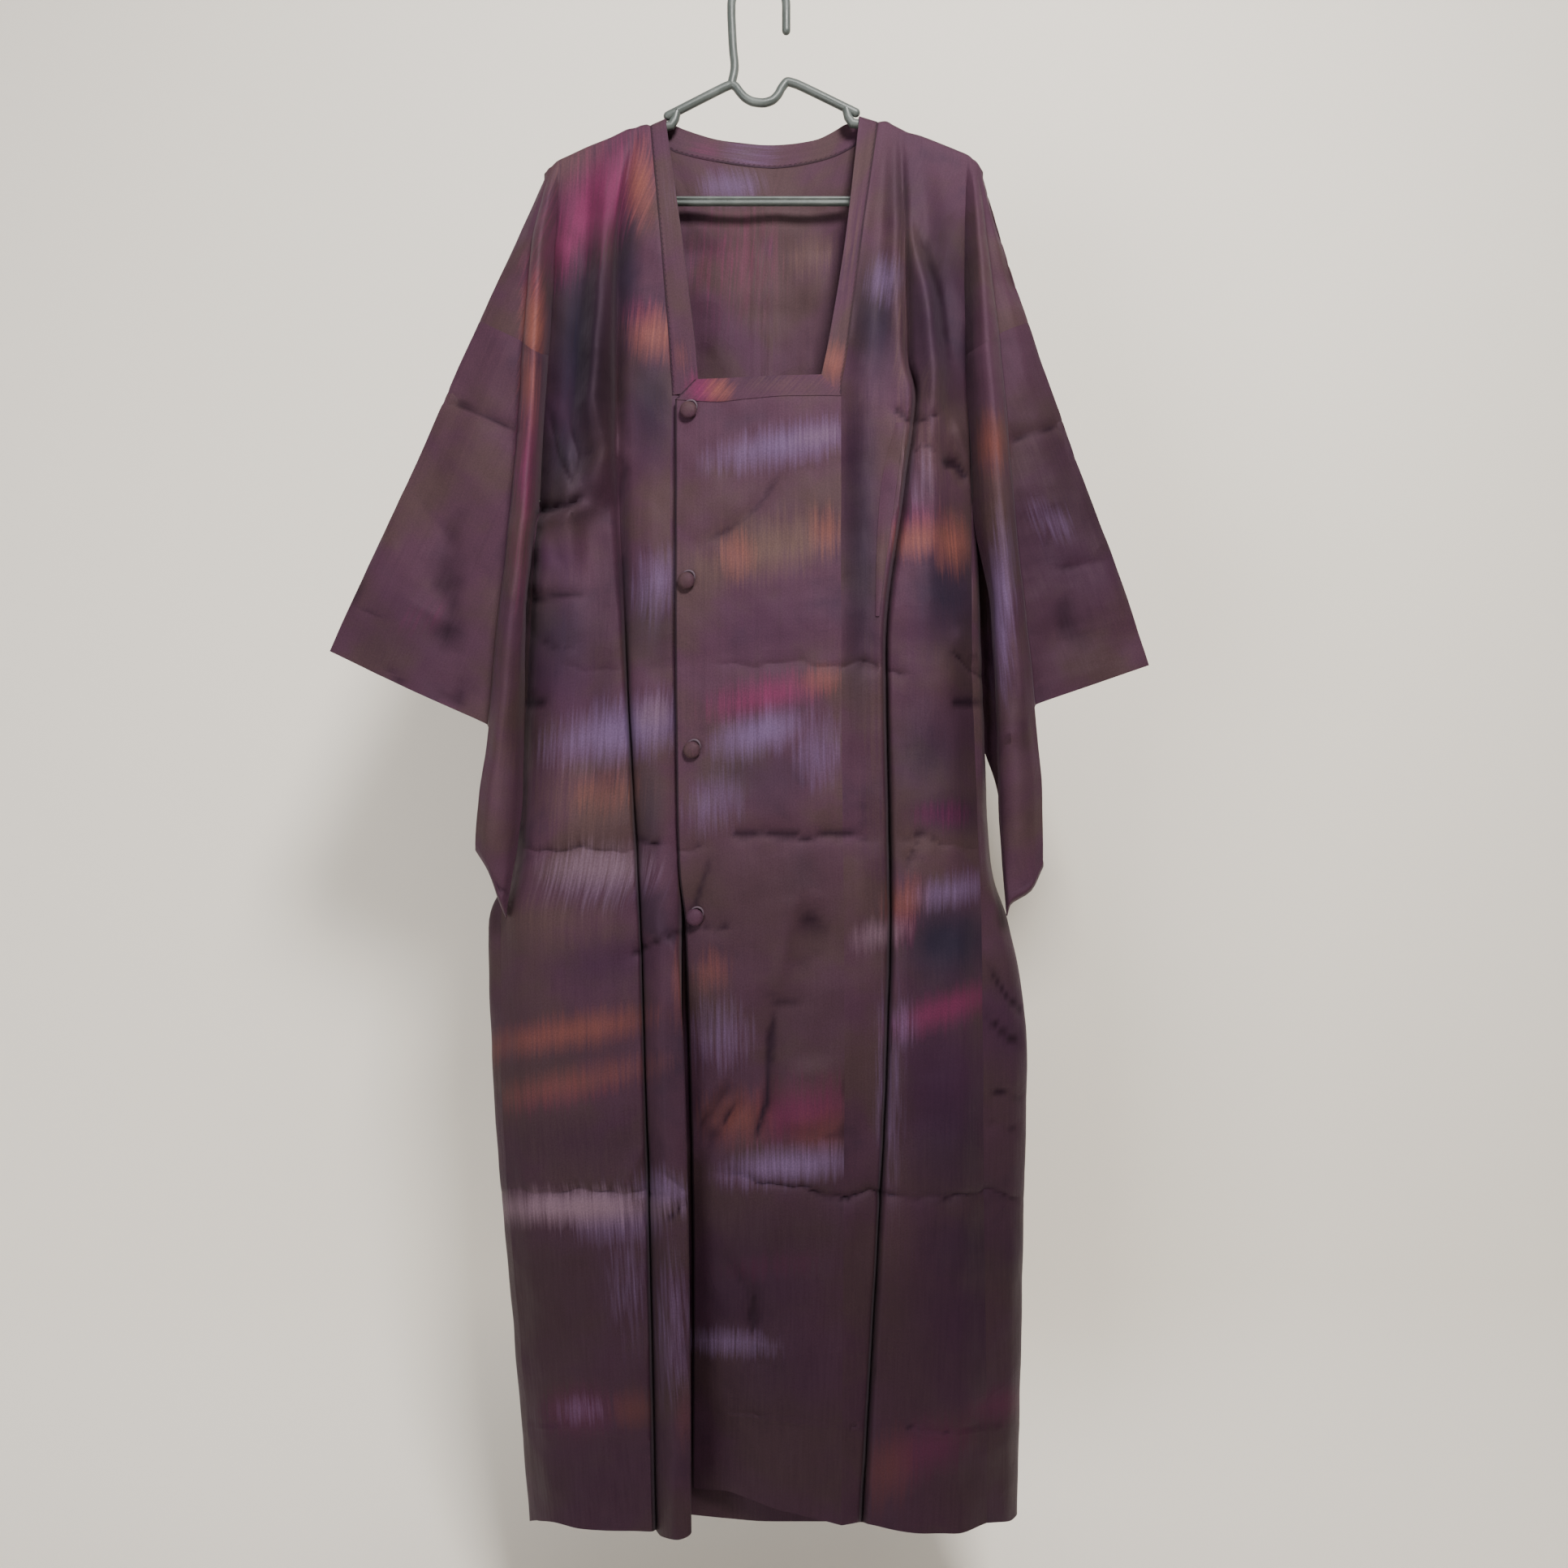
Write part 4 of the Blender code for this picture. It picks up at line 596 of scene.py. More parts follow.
class Coat:
    """Every grid of cloth, sewn where points coincide, and each piece's shell made from them."""

    def __init__(self):
        self.grids = []

    def lay(self, piece, grid, facing, outward):
        """Add a grid to a piece. facing picks its creases and dyes, outward is its outer side."""
        self.grids.append({"piece": piece, "base": np.asarray(grid, float), "facing": facing,
                           "outward": outward})

    def cloth_lengths(self, grid):
        """How far each point lies along the cloth, across and down, in metres."""
        base = grid["base"]
        across = np.zeros(base.shape[:2])
        down = np.zeros(base.shape[:2])
        across[:, 1:] = np.cumsum(np.linalg.norm(np.diff(base, axis=1), axis=2), axis=1)
        down[1:] = np.cumsum(np.linalg.norm(np.diff(base, axis=0), axis=2), axis=0)
        if grid["facing"] == "back":
            down = -down
        return np.stack([across, down], axis=2) * MM

    def sew(self):
        """Weld every grid's points, crease them, and find their shared normals."""
        flat = np.concatenate([g["base"].reshape(-1, 3) for g in self.grids])
        keys = np.round(flat / WELD).astype(np.int64)
        _, first, index = np.unique(keys, axis=0, return_index=True, return_inverse=True)
        index = index.reshape(-1)
        count = len(first)
        self.points = flat[first]
        shift = np.zeros((count, 3))
        met = np.zeros(count)
        at = 0
        for grid in self.grids:
            size = grid["base"].shape[0] * grid["base"].shape[1]
            grid["ids"] = index[at:at + size].reshape(grid["base"].shape[:2])
            grid["lengths"] = self.cloth_lengths(grid)
            moved = creases_of(grid)
            # the dyes take painted shade in the creases' hollows
            grid["dye"] = with_painted_crease_shade(dyes_of(grid), moved[..., 1], grid["facing"])
            np.add.at(shift, grid["ids"].reshape(-1), moved.reshape(-1, 3))
            np.add.at(met, grid["ids"].reshape(-1), 1)
            at += size
        self.points = self.points + shift / met[:, None]
        normals = np.zeros((count, 3))
        for grid in self.grids:
            loops = quads_of(grid["ids"]).reshape(-1, 4)
            across = self.points[loops[:, 2]] - self.points[loops[:, 0]]
            along = self.points[loops[:, 3]] - self.points[loops[:, 1]]
            vector = np.cross(across, along)
            if np.dot(vector.sum(axis=0), grid["outward"]) < 0:
                loops = loops[:, ::-1]
                vector = -vector
                grid["turned"] = True
            grid["loops"] = loops
            for k in range(4):
                np.add.at(normals, loops[:, k], vector)
        size = np.linalg.norm(normals, axis=1)
        self.normals = normals / np.maximum(size, TINY)[:, None]
        self.shared = np.zeros(count)
        for piece in sorted({grid["piece"] for grid in self.grids}):
            ids = [grid["ids"].reshape(-1) for grid in self.grids if grid["piece"] == piece]
            self.shared[np.unique(np.concatenate(ids))] += 1

    def shell(self, piece, thick, material):
        """One piece of cloth as a thin closed shell with its lengths, dyes and painted shade."""
        mine = [g for g in self.grids if g["piece"] == piece]
        loops, lengths, dye = [], [], {}
        for grid in mine:
            corner = quads_of(grid["lengths"]).reshape(-1, 4, 2)
            if grid.get("turned"):
                corner = corner[:, ::-1]
            loops.append(grid["loops"])
            lengths.append(corner)
            dye.update(zip(grid["ids"].reshape(-1).tolist(), grid["dye"].reshape(-1, DYE_COUNT)))
        loops = np.concatenate(loops)
        lengths = np.concatenate(lengths)
        used, local = np.unique(loops, return_inverse=True)
        local = local.reshape(loops.shape)
        place = self.points[used]
        normal = self.normals[used]
        at_seam = self.shared[used] > 1
        sunk = normal * (at_seam * SEAM_SINK)[:, None]
        outer = place + normal * thick / 2 - sunk
        inner = place - normal * thick / 2 + sunk
        count = len(used)
        faces, corners = [], []
        edges = {}
        for quad, uv in zip(local.tolist(), lengths):
            keep = [k for k in range(4) if quad[k] != quad[k - 1]]
            if len(keep) < 3:
                continue
            loop = [quad[k] for k in keep]
            spots = [uv[k] for k in keep]
            faces.append(loop)
            corners.append(spots)
            faces.append([v + count for v in reversed(loop)])
            corners.append(spots[::-1])
            for k in range(len(loop)):
                pair = (loop[k - 1], loop[k])
                key = (min(pair), max(pair))
                edges[key] = None if key in edges else (pair, spots[k - 1], spots[k])
        for found in edges.values():
            if found:
                (a, b), start, end = found
                faces.append([b, a, a + count, b + count])
                corners.append([end, start, start, end])
        made = new_mesh("coat_" + piece, np.concatenate([outer, inner]), faces, material)
        lay_lengths(made, corners)
        worth = np.array([dye[v] for v in used.tolist()])
        lay_dyes(made, np.concatenate([worth, worth]))
        stand_for(made, piece)
        return made


def stand_for(made, node):
    """An object rides the coat's body in place of a solid."""
    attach(made, "root")
    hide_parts(node)


def new_mesh(name, points, faces, material):
    """An object from points in mm."""
    mesh = bpy.data.meshes.new(name)
    mesh.from_pydata([tuple(p) for p in np.asarray(points, float) * MM], [], faces)
    mesh.validate()
    mesh.shade_smooth()
    mesh.set_sharp_from_angle(angle=math.radians(SHARP_ANGLE))
    mesh.materials.append(material)
    made = bpy.data.objects.new(name, mesh)
    bpy.context.scene.collection.objects.link(made)
    return made


def lay_lengths(made, corners):
    """Each face corner's place along the cloth, across and down, in metres."""
    layer = made.data.uv_layers.new(name="cloth_lengths")
    flat = np.array([spot for loop in corners for spot in loop], float)
    layer.data.foreach_set("uv", flat.reshape(-1))


def lay_dyes(made, worth):
    """Three dyes to each of the mesh's colour attributes, the painted shade among the last three."""
    for k, name in enumerate(DYE_LAYERS):
        layer = made.data.attributes.new(name, "FLOAT_COLOR", "POINT")
        rgba = np.ones((len(worth), 4))
        rgba[:, :3] = worth[:, 3 * k:3 * k + 3]
        layer.data.foreach_set("color", rgba.reshape(-1))


def coat_grids():
    """Lays every panel of the coat."""
    coat = Coat()
    start = len(WRAP_ANGLES)
    lap_row = start + sum(ROWS_PER_LEVEL[:3])
    underarm_row = start + sum(ROWS_PER_LEVEL[:4])
    right = front_panel(RIGHT_FRONT, RIGHT_FRONT_STEPS)
    left = front_panel(LEFT_FRONT, LEFT_FRONT_STEPS)
    tucked = right.shape[1] - RIGHT_FRONT_STEPS[-1]
    coat.lay("body_right", right[:, :tucked], "front", (0, -1, 0))
    coat.lay("body_right", right[lap_row:, tucked - 1:], "front", (0, -1, 0))
    coat.lay("body_left", left, "front", (0, -1, 0))

    right_side = side_line(RIGHT_GORE[-1], RIGHT_FRONT[0].top, RIGHT_ARMHOLE)
    left_side = side_line(LEFT_GORE[-1], LEFT_FRONT[-1].top, LEFT_ARMHOLE)
    seam = round_neck(NECK_SEAM)
    half = len(seam) // 2
    right_neck, left_neck = seam[:half + 1], seam[:half - 1:-1]
    right_top = right[:start + 1, :tucked]
    left_top = left[:start + 1, ::-1]
    right_back = back_panel(right_top, right_side, right_neck, -1)
    left_back = back_panel(left_top, left_side, left_neck, 1)
    centre = (right_back[:, -1] + left_back[:, -1]) / 2
    right_back[:, -1] = centre
    left_back[:, -1] = centre
    coat.lay("body_right", right_back, "back", (0, 1, 0))
    coat.lay("body_left", left_back, "back", (0, 1, 0))

    for name, table, cap, front_side, back_side in (
            ("right", RIGHT_SLEEVE, RIGHT_CAP, right[:, 0], right_back[:, 0]),
            ("left", LEFT_SLEEVE, LEFT_CAP, left[:, -1], left_back[:, 0])):
        sides = {"front": front_side, "back": back_side}
        caps = {face: cap_grid(cap, sides[face], face == "front") for face in sides}
        caps["back"][0] = caps["front"][0]
        coat.lay("body_" + name, caps["front"], "front", (0, -1, 0))
        coat.lay("body_" + name, caps["back"], "back", (0, 1, 0))
        sleeve = "sleeve_" + name
        hand_step = (UNDERARM_STEP[0] * (-1 if name == "right" else 1), *UNDERARM_STEP[1:])
        grids = sleeve_grids(table, sides, caps, hand_step)
        for face, outward in (("front", (0, -1, 0)), ("back", (0, 1, 0))):
            for grid in grids[face]:
                coat.lay(sleeve, grid, face, outward)
        coat.lay(sleeve, grids["foot"], "foot", (0, 0, -1))

    first = LEVELS.index("underarm")
    for name, gore, front_side, back_side, way in (
            ("gore_right", RIGHT_GORE, right[:, 0], right_back[:, 0], -1),
            ("gore_left", LEFT_GORE, left[:, -1], left_back[:, 0], 1)):
        grid = spread(fold_lines(gore, first), (GORE_STEP,) * (len(gore) - 1))
        grid[:, 0] = front_side[underarm_row:]
        grid[:, -1] = back_side[underarm_row:]
        coat.lay(name, grid, "front", (way, 0, 0))
    lap = LEVELS.index("lap")
    outer = spread(overlap_lines(OVERLAP_OUTER, lap, FRONT_BAND), OVERLAP_OUTER_STEPS)
    outer[:, -1] = left[lap_row:, 0]
    coat.lay("overlap_left", outer, "front", (0, -1, 0))
    inner = spread(fold_lines(OVERLAP_INNER, lap), OVERLAP_INNER_STEPS)
    inner[:, 0] = right[lap_row:, -1]
    coat.lay("overlap_right", inner, "under", (0, -1, 0))
    shoulder = right_top.shape[1]
    left_shoulder = left_top.shape[1]
    back_seam = np.concatenate([right_back[0, shoulder:], left_back[0, left_shoulder:][::-1][1:]])
    band = neckband_grid(right[:, tucked - 1], left[:, 0], back_seam, lap_row)
    coat.lay("neckband", band, "front", (0, -1, 0))
    top = outer[0]
    edge = curve(np.linspace(0, 1, len(FRONT_BAND_EDGE)), FRONT_BAND_EDGE,
                 np.linspace(0, 1, len(top)))
    strip = between(top, edge, np.linspace(0, 1, BAND_COLUMNS)).transpose(1, 0, 2)
    strip[:, -1] = band[-1]
    coat.lay("neckband_front", strip, "front", (0, -1, 0))
    coat.sew()
    return coat


# Creases: a kind, then half width mm, rise mm towards the viewer, and run through the picture's
# frame of each of that kind. A pinch is pointed across its run, a swell is rounded, a press is a
# pinch that wavers, and a ledge is a small step down its run's lower side.
FRONT_CREASES = (
    # pressed in while the coat lay folded: upper, middle and lower lines
    ("press", (2.4, -0.5, (880, 819), (913, 819), (990, 817), (1036, 822), (1088, 812)),
     (2.4, -0.35, (690, 822), (766, 826)), (3.2, -1.2, (640, 1046), (700, 1048), (779, 1048)),
     (2.6, -1.1, (784, 1041), (800, 1037), (818, 1038)), (2.6, -0.5, (836, 1046), (868, 1044)),
     (3.0, -1.15, (900, 1028), (911, 1025), (963, 1030), (1035, 1029), (1083, 1033)),
     (2.6, -0.7, (1103, 1033), (1133, 1030), (1205, 1048)),
     (3.2, -1.2, (610, 1467), (700, 1470), (760, 1469), (800, 1474), (852, 1478)),
     (3.2, -1.3, (855, 1440), (920, 1452), (960, 1462), (1038, 1476), (1088, 1470), (1139, 1478)),
     (3.0, -1.0, (1130, 1478), (1211, 1469), (1268, 1480))),
    # top of the turned-up hem
    ("ledge", (2.0, -0.55, (640, 1756), (700, 1757), (803, 1764)),
     (2.0, -0.55, (812, 1766), (852, 1764)),
     (2.0, -0.5, (900, 1742), (927, 1744), (980, 1752), (1051, 1760), (1078, 1752)),
     (2.0, -0.55, (1078, 1751), (1153, 1768), (1268, 1749))),
    # lengthwise pressed lines
    ("pinch", (3.5, -0.6, (732, 1541), (733, 1746)),
     (4, 0.7, (1108, 1060), (1114, 1160), (1118, 1390)), (4, -0.6, (927, 1560), (930, 1740))),
    # wearer's right breast: the swung fold, its hollow and the pointed end
    ("swell", (15, 5.0, (752, 330), (738, 430), (733, 500), (748, 560), (735, 600), (716, 624))),
    ("pinch", (5, -1.6, (676, 505), (690, 560), (708, 606)),
     (5, -1.2, (700, 510), (712, 560), (706, 590)), (5, 1.3, (684, 530), (702, 575)),
     (7, -3.4, (655, 632), (690, 621), (726, 611)), (6, 2.2, (662, 645), (700, 636), (731, 625))),
    ("swell", (10, 2.6, (668, 655), (674, 700), (664, 740))),
    ("pinch", (5, -1.5, (645, 738), (690, 733), (730, 736)),
     (5, -1.5, (640, 868), (658, 865), (680, 868)), (6, -1.0, (655, 780), (690, 800), (720, 790))),
    # roll at the wearer's right
    ("pinch", (5, -1.4, (770, 1182), (800, 1164), (852, 1142)),
     (5, 1.2, (806, 1140), (825, 1165), (846, 1192)), (5, 1.3, (762, 1470), (797, 1406)),
     (4, -1.4, (797, 1404), (800, 1470)), (4, -1.2, (803, 1436), (852, 1474)),
     (5, 1.2, (762, 1472), (808, 1480), (850, 1474)), (4, -1.2, (800, 1474), (792, 1506)),
     (4, -1.1, (850, 1480), (820, 1504))),
    # centre panel
    ("pinch", (12, -1.8, (964, 580), (935, 622), (913, 642), (866, 670)),
     (9, -1.8, (878, 1050), (858, 1112), (846, 1160)),
     (5, -1.0, (857, 1140), (880, 1146), (905, 1140))),
    ("swell", (32, -1.7, (996, 1112), (1004, 1160), (1004, 1230))),
    ("pinch", (7, 1.6, (989, 1086), (970, 1150), (956, 1220)),
     (7, 1.2, (989, 1086), (1016, 1122), (1038, 1133)),
     (7, -1.2, (935, 1226), (971, 1236), (1010, 1228)),
     (11, -2.6, (956, 1236), (948, 1300), (944, 1360), (930, 1410))),
    ("swell", (38, -2.2, (870, 1360), (905, 1384)), (30, 3.0, (985, 1300), (1000, 1400))),
    ("pinch", (8, -1.4, (900, 1560), (925, 1600), (928, 1650)),
     (6, -1.0, (870, 1655), (930, 1668), (975, 1700))),
    # wearer's left front
    ("swell", (9, 2.2, (1109, 268), (1135, 350), (1152, 437), (1159, 507)),
     (9, -2.4, (1128, 262), (1158, 350), (1174, 450))),
    ("pinch", (5, -1.6, (1100, 500), (1124, 521)), (5, -1.5, (1124, 521), (1160, 508)),
     (5, -1.2, (1126, 560), (1136, 545), (1155, 556)), (5, -1.4, (1060, 813), (1085, 822)),
     (5, -1.2, (1090, 824), (1118, 832)), (7, 2.2, (1173, 514), (1188, 560), (1194, 592)),
     (7, -2.6, (1196, 594), (1178, 572), (1160, 566)),
     (6, -1.8, (1170, 798), (1195, 826), (1218, 838)), (6, 1.6, (1176, 776), (1205, 812)),
     (6, -1.5, (1168, 862), (1216, 868)), (5, -1.2, (1133, 1030), (1118, 1066))),
    # wearer's left gore
    ("pinch", (5, -1.5, (1212, 1178), (1240, 1228), (1262, 1250)),
     (5, -1.5, (1212, 1248), (1238, 1274), (1262, 1292)), (5, -1.2, (1214, 1340), (1262, 1354)),
     (5, -1.1, (1214, 1384), (1258, 1392))),
    # sleeves
    ("pinch", (6, -1.5, (548, 488), (590, 508), (648, 534)), (6, -0.9, (476, 820), (498, 844)),
     (6, -0.8, (436, 746), (470, 760), (506, 750)), (6, 0.9, (500, 738), (545, 765)),
     (7, -0.8, (556, 850), (560, 872))),
    ("swell", (32, 1.8, (455, 640), (500, 800)), (26, -1.8, (545, 600), (565, 830))),
    ("pinch", (6, -1.2, (1243, 545), (1275, 532), (1312, 524))),
    ("swell", (28, -1.8, (1290, 620), (1335, 830)), (28, 1.5, (1350, 640), (1385, 800))),
    ("pinch", (6, -0.7, (1300, 700), (1368, 692))),
    ("swell", (7, 2.0, (1242, 865), (1250, 960), (1256, 1071))),
    ("pinch", (5, -1.2, (604, 1090), (630, 1102))),
    # gathers at the ends of the back neckband
    ("pinch", (3, -0.9, (838, 156), (845, 176)), (3, -0.8, (849, 163), (853, 180)),
     (3, -0.8, (1032, 162), (1028, 178)), (3, -0.9, (1040, 156), (1036, 174))),
)
BACK_CREASES = (
    ("press", (2.6, -0.6, (650, 820), (800, 826), (940, 818), (1090, 828), (1222, 816)),
     (3.0, -1.0, (620, 1046), (760, 1040), (930, 1048), (1100, 1042), (1240, 1050)),
     (3.2, -1.2, (605, 1468), (780, 1475), (940, 1466), (1100, 1474), (1272, 1468))),
    ("ledge", (2.0, -0.55, (640, 1750), (950, 1758), (1266, 1750))),
    ("pinch", (3, -1.0, (941, 250), (943, 800)), (3, -0.8, (930, 250), (931, 640))),
    ("swell", (20, -2.6, (760, 300), (800, 520)), (24, 2.4, (1090, 330), (1050, 560)),
     (22, 2.4, (700, 420), (720, 640)), (20, -2.4, (1160, 480), (1150, 700))),
    ("pinch", (7, -1.4, (690, 560), (760, 590), (820, 575)),
     (7, -1.3, (1060, 640), (1120, 660), (1190, 630)),
     (8, -1.6, (860, 900), (900, 960), (905, 1030)),
     (8, 1.6, (1010, 1100), (1030, 1200), (1020, 1300)),
     (8, -1.6, (760, 1160), (800, 1220), (810, 1330))),
    ("swell", (28, -3.0, (1120, 1250), (1130, 1400))),
    ("pinch", (6, -1.2, (552, 489), (590, 508), (640, 531)), (6, -1.1, (1247, 543), (1309, 524))),
    ("swell", (28, 1.8, (455, 640), (500, 800)), (26, -1.6, (1300, 620), (1345, 830))),
)
# The ripple of hanging silk: mm across a wave and its rise, how each is turned from the last and at
# the back, its phase for a turn, and how much longer it is than wide
RIPPLES = ((173.0, 1.50), (97.0, 1.25), (61.0, 0.90), (37.0, 0.50), (23.0, 0.20))
RIPPLE_TURN, RIPPLE_BACK_TURN, RIPPLE_PHASE, RIPPLE_LENGTH = 1.1, 2.0, 5, 1.7
# A crease's ends: share of its run that tapers, and rise left at the very end
TAPER, TAPER_END = 0.22, 0.25
CREASE_DEPTH = 3.3
# Half widths at which it is over, a press's wide foot (share, half widths), a ledge's lower side
CREASE_REACH = 6
PRESS_FOOT = (0.35, 3)
LEDGE_LOWER = -0.6
# Creases start below the shoulders, at this step of the picture's frame and over so many steps;
# and the neckband's share of them
CREASES_START, CREASES_OVER = 205, 60
BAND_SHARE = 0.3
# How a pressed line wavers: frame steps up and down, wave length over a turn, phase
WAVER = ((2.6, 13.0, 0.0), (1.6, 6.1, 1.0), (0.8, 3.3, 2.0))


def off_line(across, down, start, end):
    """How far spots lie from a stretch, and how far along it: 0 at its start, 1 at its end."""
    run = (end[0] - start[0], end[1] - start[1])
    size = run[0] ** 2 + run[1] ** 2
    share = np.clip(((across - start[0]) * run[0] + (down - start[1]) * run[1]) / size, 0, 1)
    return np.hypot(across - start[0] - share * run[0], down - start[1] - share * run[1]), share


def crease_rise(kind, width, rise, run, across, down):
    """One crease's rise at spots in the picture's frame, mm."""
    if kind == "press":
        down = down + sum(size * np.sin(across / wave + phase + run[0][1])
                          for size, wave, phase in WAVER)
    best = np.full(across.shape, np.inf)
    along = np.zeros(across.shape)
    for k in range(len(run) - 1):
        gap, share = off_line(across, down, run[k], run[k + 1])
        nearer = gap < best
        best = np.where(nearer, gap, best)
        along = np.where(nearer, (k + share) / (len(run) - 1), along)
    gap = best * PICTURE_STEP / width
    if kind == "swell":
        shape = np.exp(-gap * gap)
    elif kind == "ledge":
        level = np.interp(across, [p[0] for p in run], [p[1] for p in run])
        shape = np.exp(-gap) * np.where(down < level, 1.0, LEDGE_LOWER)
    elif kind == "press":
        shape = np.exp(-gap) + PRESS_FOOT[0] * np.exp(-(gap / PRESS_FOOT[1]) ** 2)
    else:
        shape = np.exp(-gap)
    ends = np.clip(np.minimum(along, 1 - along) / TAPER, 0, 1)
    ends = TAPER_END + (1 - TAPER_END) * ends
    return CREASE_DEPTH * rise * shape * ends * (gap < CREASE_REACH)


def creases_of(grid):
    """How each point of a grid moves for its creases and the ripple of hanging silk, mm."""
    base = grid["base"]
    moved = np.zeros(base.shape)
    if grid["facing"] in ("foot", "under"):
        return moved
    across, down = in_picture(base)
    back = grid["facing"] == "back"
    rise = np.zeros(across.shape)
    for kind, *creases in BACK_CREASES if back else FRONT_CREASES:
        for width, top, *run in creases:
            rise += crease_rise(kind, width, top, run, across, down)
    x, z = base[..., 0], base[..., 2]
    for k, (wave, height) in enumerate(RIPPLES):
        turn = RIPPLE_TURN * k + (RIPPLE_BACK_TURN if back else 0.0)
        cos, sin = math.cos(turn), math.sin(turn)
        rise += height * (np.sin(2 * math.pi * (x * cos + z * sin) / wave + RIPPLE_PHASE * turn)
                          * np.sin(2 * math.pi * (x * sin - z * cos) / (wave * RIPPLE_LENGTH)))
    # The cloth keeps to the hanger's arm, and to the bands' seams at the top
    held = np.clip((down - CREASES_START) / CREASES_OVER, 0, 1)
    if grid["piece"].startswith("neckband"):
        held = BAND_SHARE
    moved[..., 1] = rise * held * (1 if back else -1)
    return moved


# Dyes, in the order of the colour attributes, three to each; the last, shade, is no dye but painted
# shade
DYES = ("rose", "ember", "tan", "lilac", "ink", "violet", "pale", "umber", "shade")
DYE_COUNT = len(DYES)
DYE_LAYERS = ("dye_warm", "dye_cool", "dye_pale_umber_painted_shade")
LAYER_SOCKETS = ("Warm", "Cool", "Light")
# Where each dye was brushed on, and where the painted shade lies, all in the picture's frame
Spot = namedtuple("Spot", "across down half_width half_height strength fall", defaults=(0,))
RIGHT_DYES = {
    "rose": ((735, 250, 46, 44, 1.0, -0.75), (700, 300, 26, 30, 0.8, -0.6), (775, 205, 20, 26, 0.6),
             (655, 350, 12, 30, 0.5), (790, 390, 20, 20, 0.4), (690, 1350, 60, 16, 0.4, -0.2),
             (715, 1737, 36, 22, 0.75)),
    "ember": ((789, 226, 14, 34, 0.8), (657, 405, 12, 44, 0.95), (806, 412, 26, 22, 0.75),
              (750, 975, 40, 24, 0.35, -0.1), (700, 1272, 86, 15, 0.85, -0.18),
              (705, 1335, 86, 16, 0.65, -0.22), (780, 1735, 22, 18, 0.65), (838, 1215, 8, 44, 0.5),
              (842, 1745, 10, 30, 0.4)),
    "tan": ((700, 200, 40, 30, 0.5, -0.3), (720, 985, 60, 40, 0.45), (700, 1130, 60, 30, 0.35)),
    "lilac": ((810, 718, 24, 28, 0.6, -0.3), (768, 900, 66, 24, 1.0, -0.22),
              (740, 1085, 60, 30, 0.35), (760, 1500, 50, 26, 0.5), (770, 1580, 24, 60, 0.25),
              (715, 1737, 26, 16, 0.35), (815, 1470, 30, 20, 0.6), (828, 1640, 20, 80, 0.3)),
    "ink": ((716, 420, 30, 120, 0.85), (770, 330, 16, 90, 0.7), (700, 560, 34, 60, 0.7),
            (802, 490, 26, 60, 0.65), (690, 780, 40, 50, 0.6), (800, 760, 30, 60, 0.45),
            (800, 1000, 16, 60, 0.5)),
    "violet": ((690, 470, 30, 60, 0.6), (812, 540, 24, 40, 0.4), (680, 690, 30, 24, 0.6),
               (690, 850, 50, 40, 0.5), (745, 1185, 56, 28, 0.6, -0.1), (720, 1405, 80, 34, 0.45),
               (720, 1830, 70, 40, 0.4)),
    "pale": ((805, 880, 20, 16, 0.5, -0.3), (735, 1068, 52, 20, 0.75), (705, 1487, 84, 15, 1.0)),
    "umber": ((745, 480, 20, 80, 0.7), (700, 640, 40, 24, 0.6, -0.2),
              (700, 1300, 80, 18, 0.5, -0.15), (700, 1440, 70, 24, 0.3), (690, 1580, 60, 70, 0.55),
              (640, 1400, 30, 300, 0.4)),
    # painted shade down the folds' valleys beside the breast and the roll
    "shade": ((742, 470, 18, 170, 0.6), (748, 800, 18, 190, 0.45), (664, 560, 12, 80, 0.5),
              (660, 900, 22, 120, 0.5), (760, 1240, 16, 200, 0.4), (790, 1660, 14, 170, 0.4)),
}
CENTRE_DYES = {
    "rose": ((945, 858, 52, 17, 0.8, -0.2), (985, 1372, 52, 28, 0.95, -0.15),
             (950, 1560, 60, 14, 0.3, -0.1)),
    "ember": ((908, 682, 18, 22, 0.55), (1017, 655, 16, 22, 0.5), (1012, 838, 24, 14, 0.5, -0.1),
              (878, 1196, 18, 20, 0.5), (905, 1378, 34, 24, 0.8), (1010, 1395, 30, 24, 0.5)),
    "tan": ((962, 672, 78, 26, 0.8, -0.25),),
    "lilac": ((968, 548, 72, 17, 0.85, -0.2), (936, 903, 42, 18, 1.0, -0.25),
              (1010, 925, 26, 34, 0.5), (880, 990, 30, 26, 0.5, -0.2), (885, 1275, 34, 34, 0.4),
              (975, 1436, 62, 16, 0.8, -0.1), (900, 1655, 46, 12, 0.55, 0.1)),
    "ink": ((930, 955, 70, 40, 0.4),),
    "violet": ((950, 770, 90, 50, 0.35), (915, 1590, 70, 60, 0.7), (960, 1690, 60, 40, 0.6)),
    "pale": ((1005, 538, 30, 10, 0.35, -0.2),),
    "umber": ((945, 610, 100, 60, 0.35), (940, 1110, 110, 80, 0.6), (990, 1240, 60, 60, 0.5),
              (985, 1520, 70, 40, 0.6), (985, 1745, 60, 26, 0.6), (980, 1800, 80, 60, 0.5)),
}
